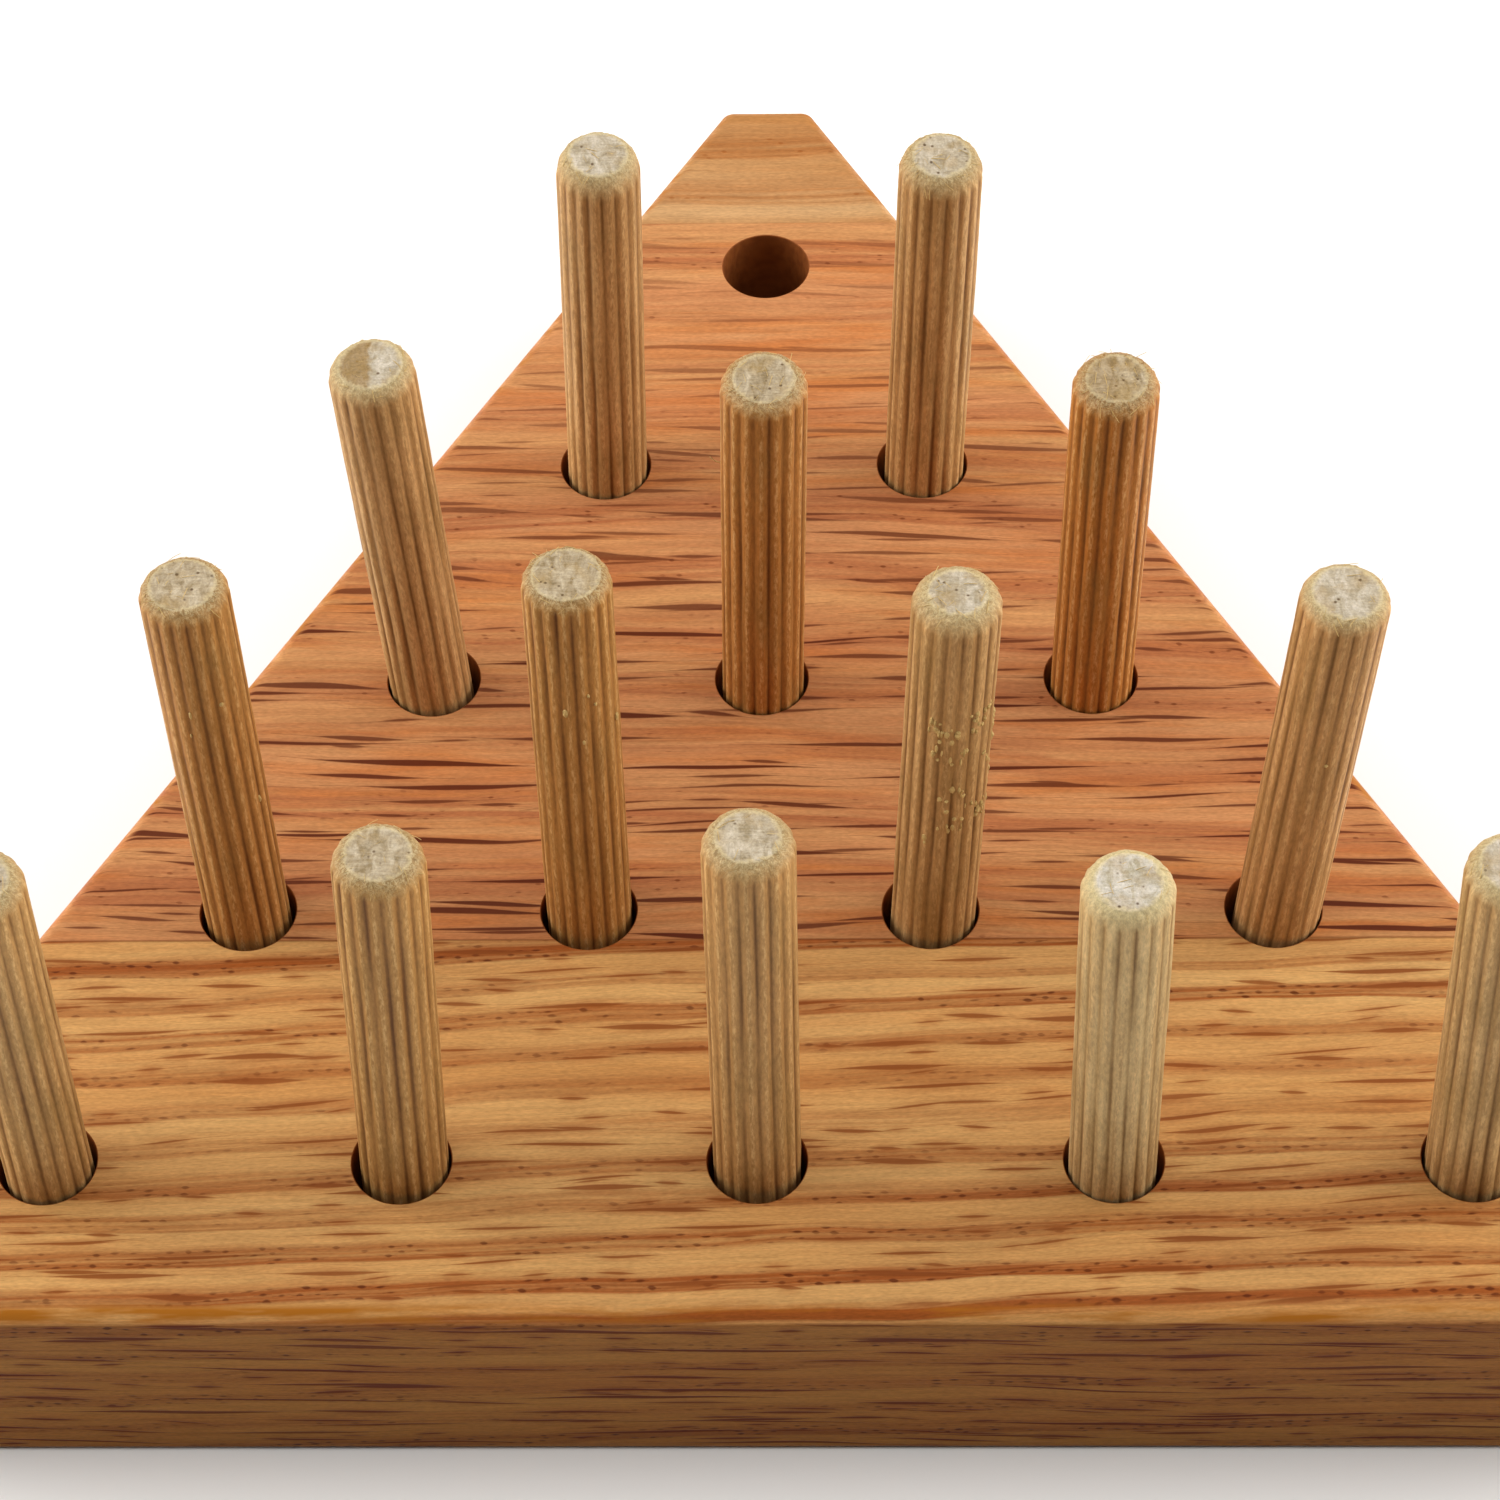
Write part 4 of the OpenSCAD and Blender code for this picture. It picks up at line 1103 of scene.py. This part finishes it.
FLOOR_REACH, FLOOR_Z = 4.0, -0.2 * MM  # the floor is a hair below the board, so their faces never fight
KEY_PLACE, KEY_SIZE = (0.0, 0.14, 0.90), (1.8, 1.3)
SIDE_LIGHT_PLACE, SIDE_LIGHT_SIZE = (0.6, 0.10, 0.30), (0.6, 0.5)
PEG_MIDDLES = (0, 0, 0.02)
ROOM_COLOUR, ROOM_STRENGTH = (0.9, 0.95, 1.0, 1), 0.04
# A long lens 0.36 m away, looking down at 52 degrees, turned and rolled a little. Angles are radians.
CAMERA_LENS = 106.39
CAMERA_PLACE_MM = (5.954, -217.26, 286.97)
CAMERA_PITCH, CAMERA_YAW, CAMERA_ROLL = 0.91252, -0.03287, -0.02999


def area_light(name, place, target, size, power):
    light = bpy.data.lights.new(name, "AREA")
    light.shape, light.size, light.size_y, light.energy = "RECTANGLE", size[0], size[1], power
    obj = new_object(name, light)
    aim = Vector(target) - Vector(place)
    obj.matrix_world = Matrix.Translation(place) @ aim.to_track_quat("-Z", "Y").to_matrix().to_4x4()


class PEGGAME_OT_stage(bpy.types.Operator):
    """Sets a plain pale floor, soft studio lights and the camera"""

    bl_idname = "peggame.stage"
    bl_label = "Set Stage"

    def execute(self, context):
        settings = context.scene.peg_game_stage
        mesh = bpy.data.meshes.new("floor")
        corners = [(x * FLOOR_REACH, y * FLOOR_REACH, FLOOR_Z)
                   for x, y in ((-1, -1), (1, -1), (1, 1), (-1, 1))]
        mesh.from_pydata(corners, [], [(0, 1, 2, 3)])
        floor = new_object("floor", mesh)
        # Matt white paint: no reflections, so the shadow is all that shows on it.
        material, tree = blank_material("painted board, matt white")
        surface = add(tree, "ShaderNodeBsdfPrincipled", {
            "Base Color": settings.floor_colour, "Roughness": 0.9})
        add(tree, "ShaderNodeOutputMaterial", {"Surface": surface})
        mesh.materials.append(material)

        area_light("key", KEY_PLACE, (0, 0, 0), KEY_SIZE, settings.key_power)
        for name, side in (("left", -1), ("right", 1)):
            place = (side * SIDE_LIGHT_PLACE[0], *SIDE_LIGHT_PLACE[1:])
            area_light(name, place, PEG_MIDDLES, SIDE_LIGHT_SIZE, settings.side_power)
        world = bpy.data.worlds.new("soft room")
        world.use_nodes = True
        background = world.node_tree.nodes["Background"].inputs
        background["Color"].default_value = ROOM_COLOUR
        background["Strength"].default_value = ROOM_STRENGTH
        context.scene.world = world
        context.scene.view_settings.view_transform = "Standard"

        camera = bpy.data.cameras.new("camera")
        camera.lens, camera.sensor_width, camera.clip_start = CAMERA_LENS, 36.0, 0.01
        obj = new_object("camera", camera)
        pitch, yaw, roll = CAMERA_PITCH, CAMERA_YAW, CAMERA_ROLL
        ahead = Vector((
            math.sin(yaw) * math.cos(pitch), math.cos(yaw) * math.cos(pitch), -math.sin(pitch)))
        right = Vector((math.cos(yaw), -math.sin(yaw), 0))
        up = right.cross(ahead)
        x = right * math.cos(roll) + up * math.sin(roll)
        y = up * math.cos(roll) - right * math.sin(roll)
        turn = Matrix((x, y, -ahead)).transposed().to_4x4()
        obj.matrix_world = Matrix.Translation([c * MM for c in CAMERA_PLACE_MM]) @ turn
        context.scene.camera = obj
        return {"FINISHED"}


# ---------------------------------------------------------------- add-on

class PEGGAME_PT_panel(bpy.types.Panel):
    """Lists the settings and the steps"""

    bl_idname = "PEGGAME_PT_panel"
    bl_label = "Triangle Peg Jump Game"
    bl_space_type = "VIEW_3D"
    bl_region_type = "UI"
    bl_category = "Peg Game"

    def draw(self, context):
        for group, operator in (("peg_game_board", "peggame.staves"), ("peg_game_pegs", "peggame.pegs"),
                                ("peg_game_stage", "peggame.stage")):
            box = self.layout.box()
            settings = getattr(context.scene, group)
            for key in settings.__annotations__:
                box.prop(settings, key)
            box.operator(operator)


GROUPS = {"peg_game_board": BoardSettings, "peg_game_pegs": PegSettings, "peg_game_stage": StageSettings}
CLASSES = (*GROUPS.values(), PEGGAME_OT_staves, PEGGAME_OT_pegs, PEGGAME_OT_stage, PEGGAME_PT_panel)


def register():
    for cls in CLASSES:
        bpy.utils.register_class(cls)
    for name, group in GROUPS.items():
        setattr(bpy.types.Scene, name, bpy.props.PointerProperty(type=group))


def unregister():
    for name in GROUPS:
        delattr(bpy.types.Scene, name)
    for cls in reversed(CLASSES):
        bpy.utils.unregister_class(cls)


def main():
    register()
    bpy.ops.peggame.staves()
    bpy.ops.peggame.pegs()
    bpy.ops.peggame.stage()


if __name__ == "__main__":
    main()
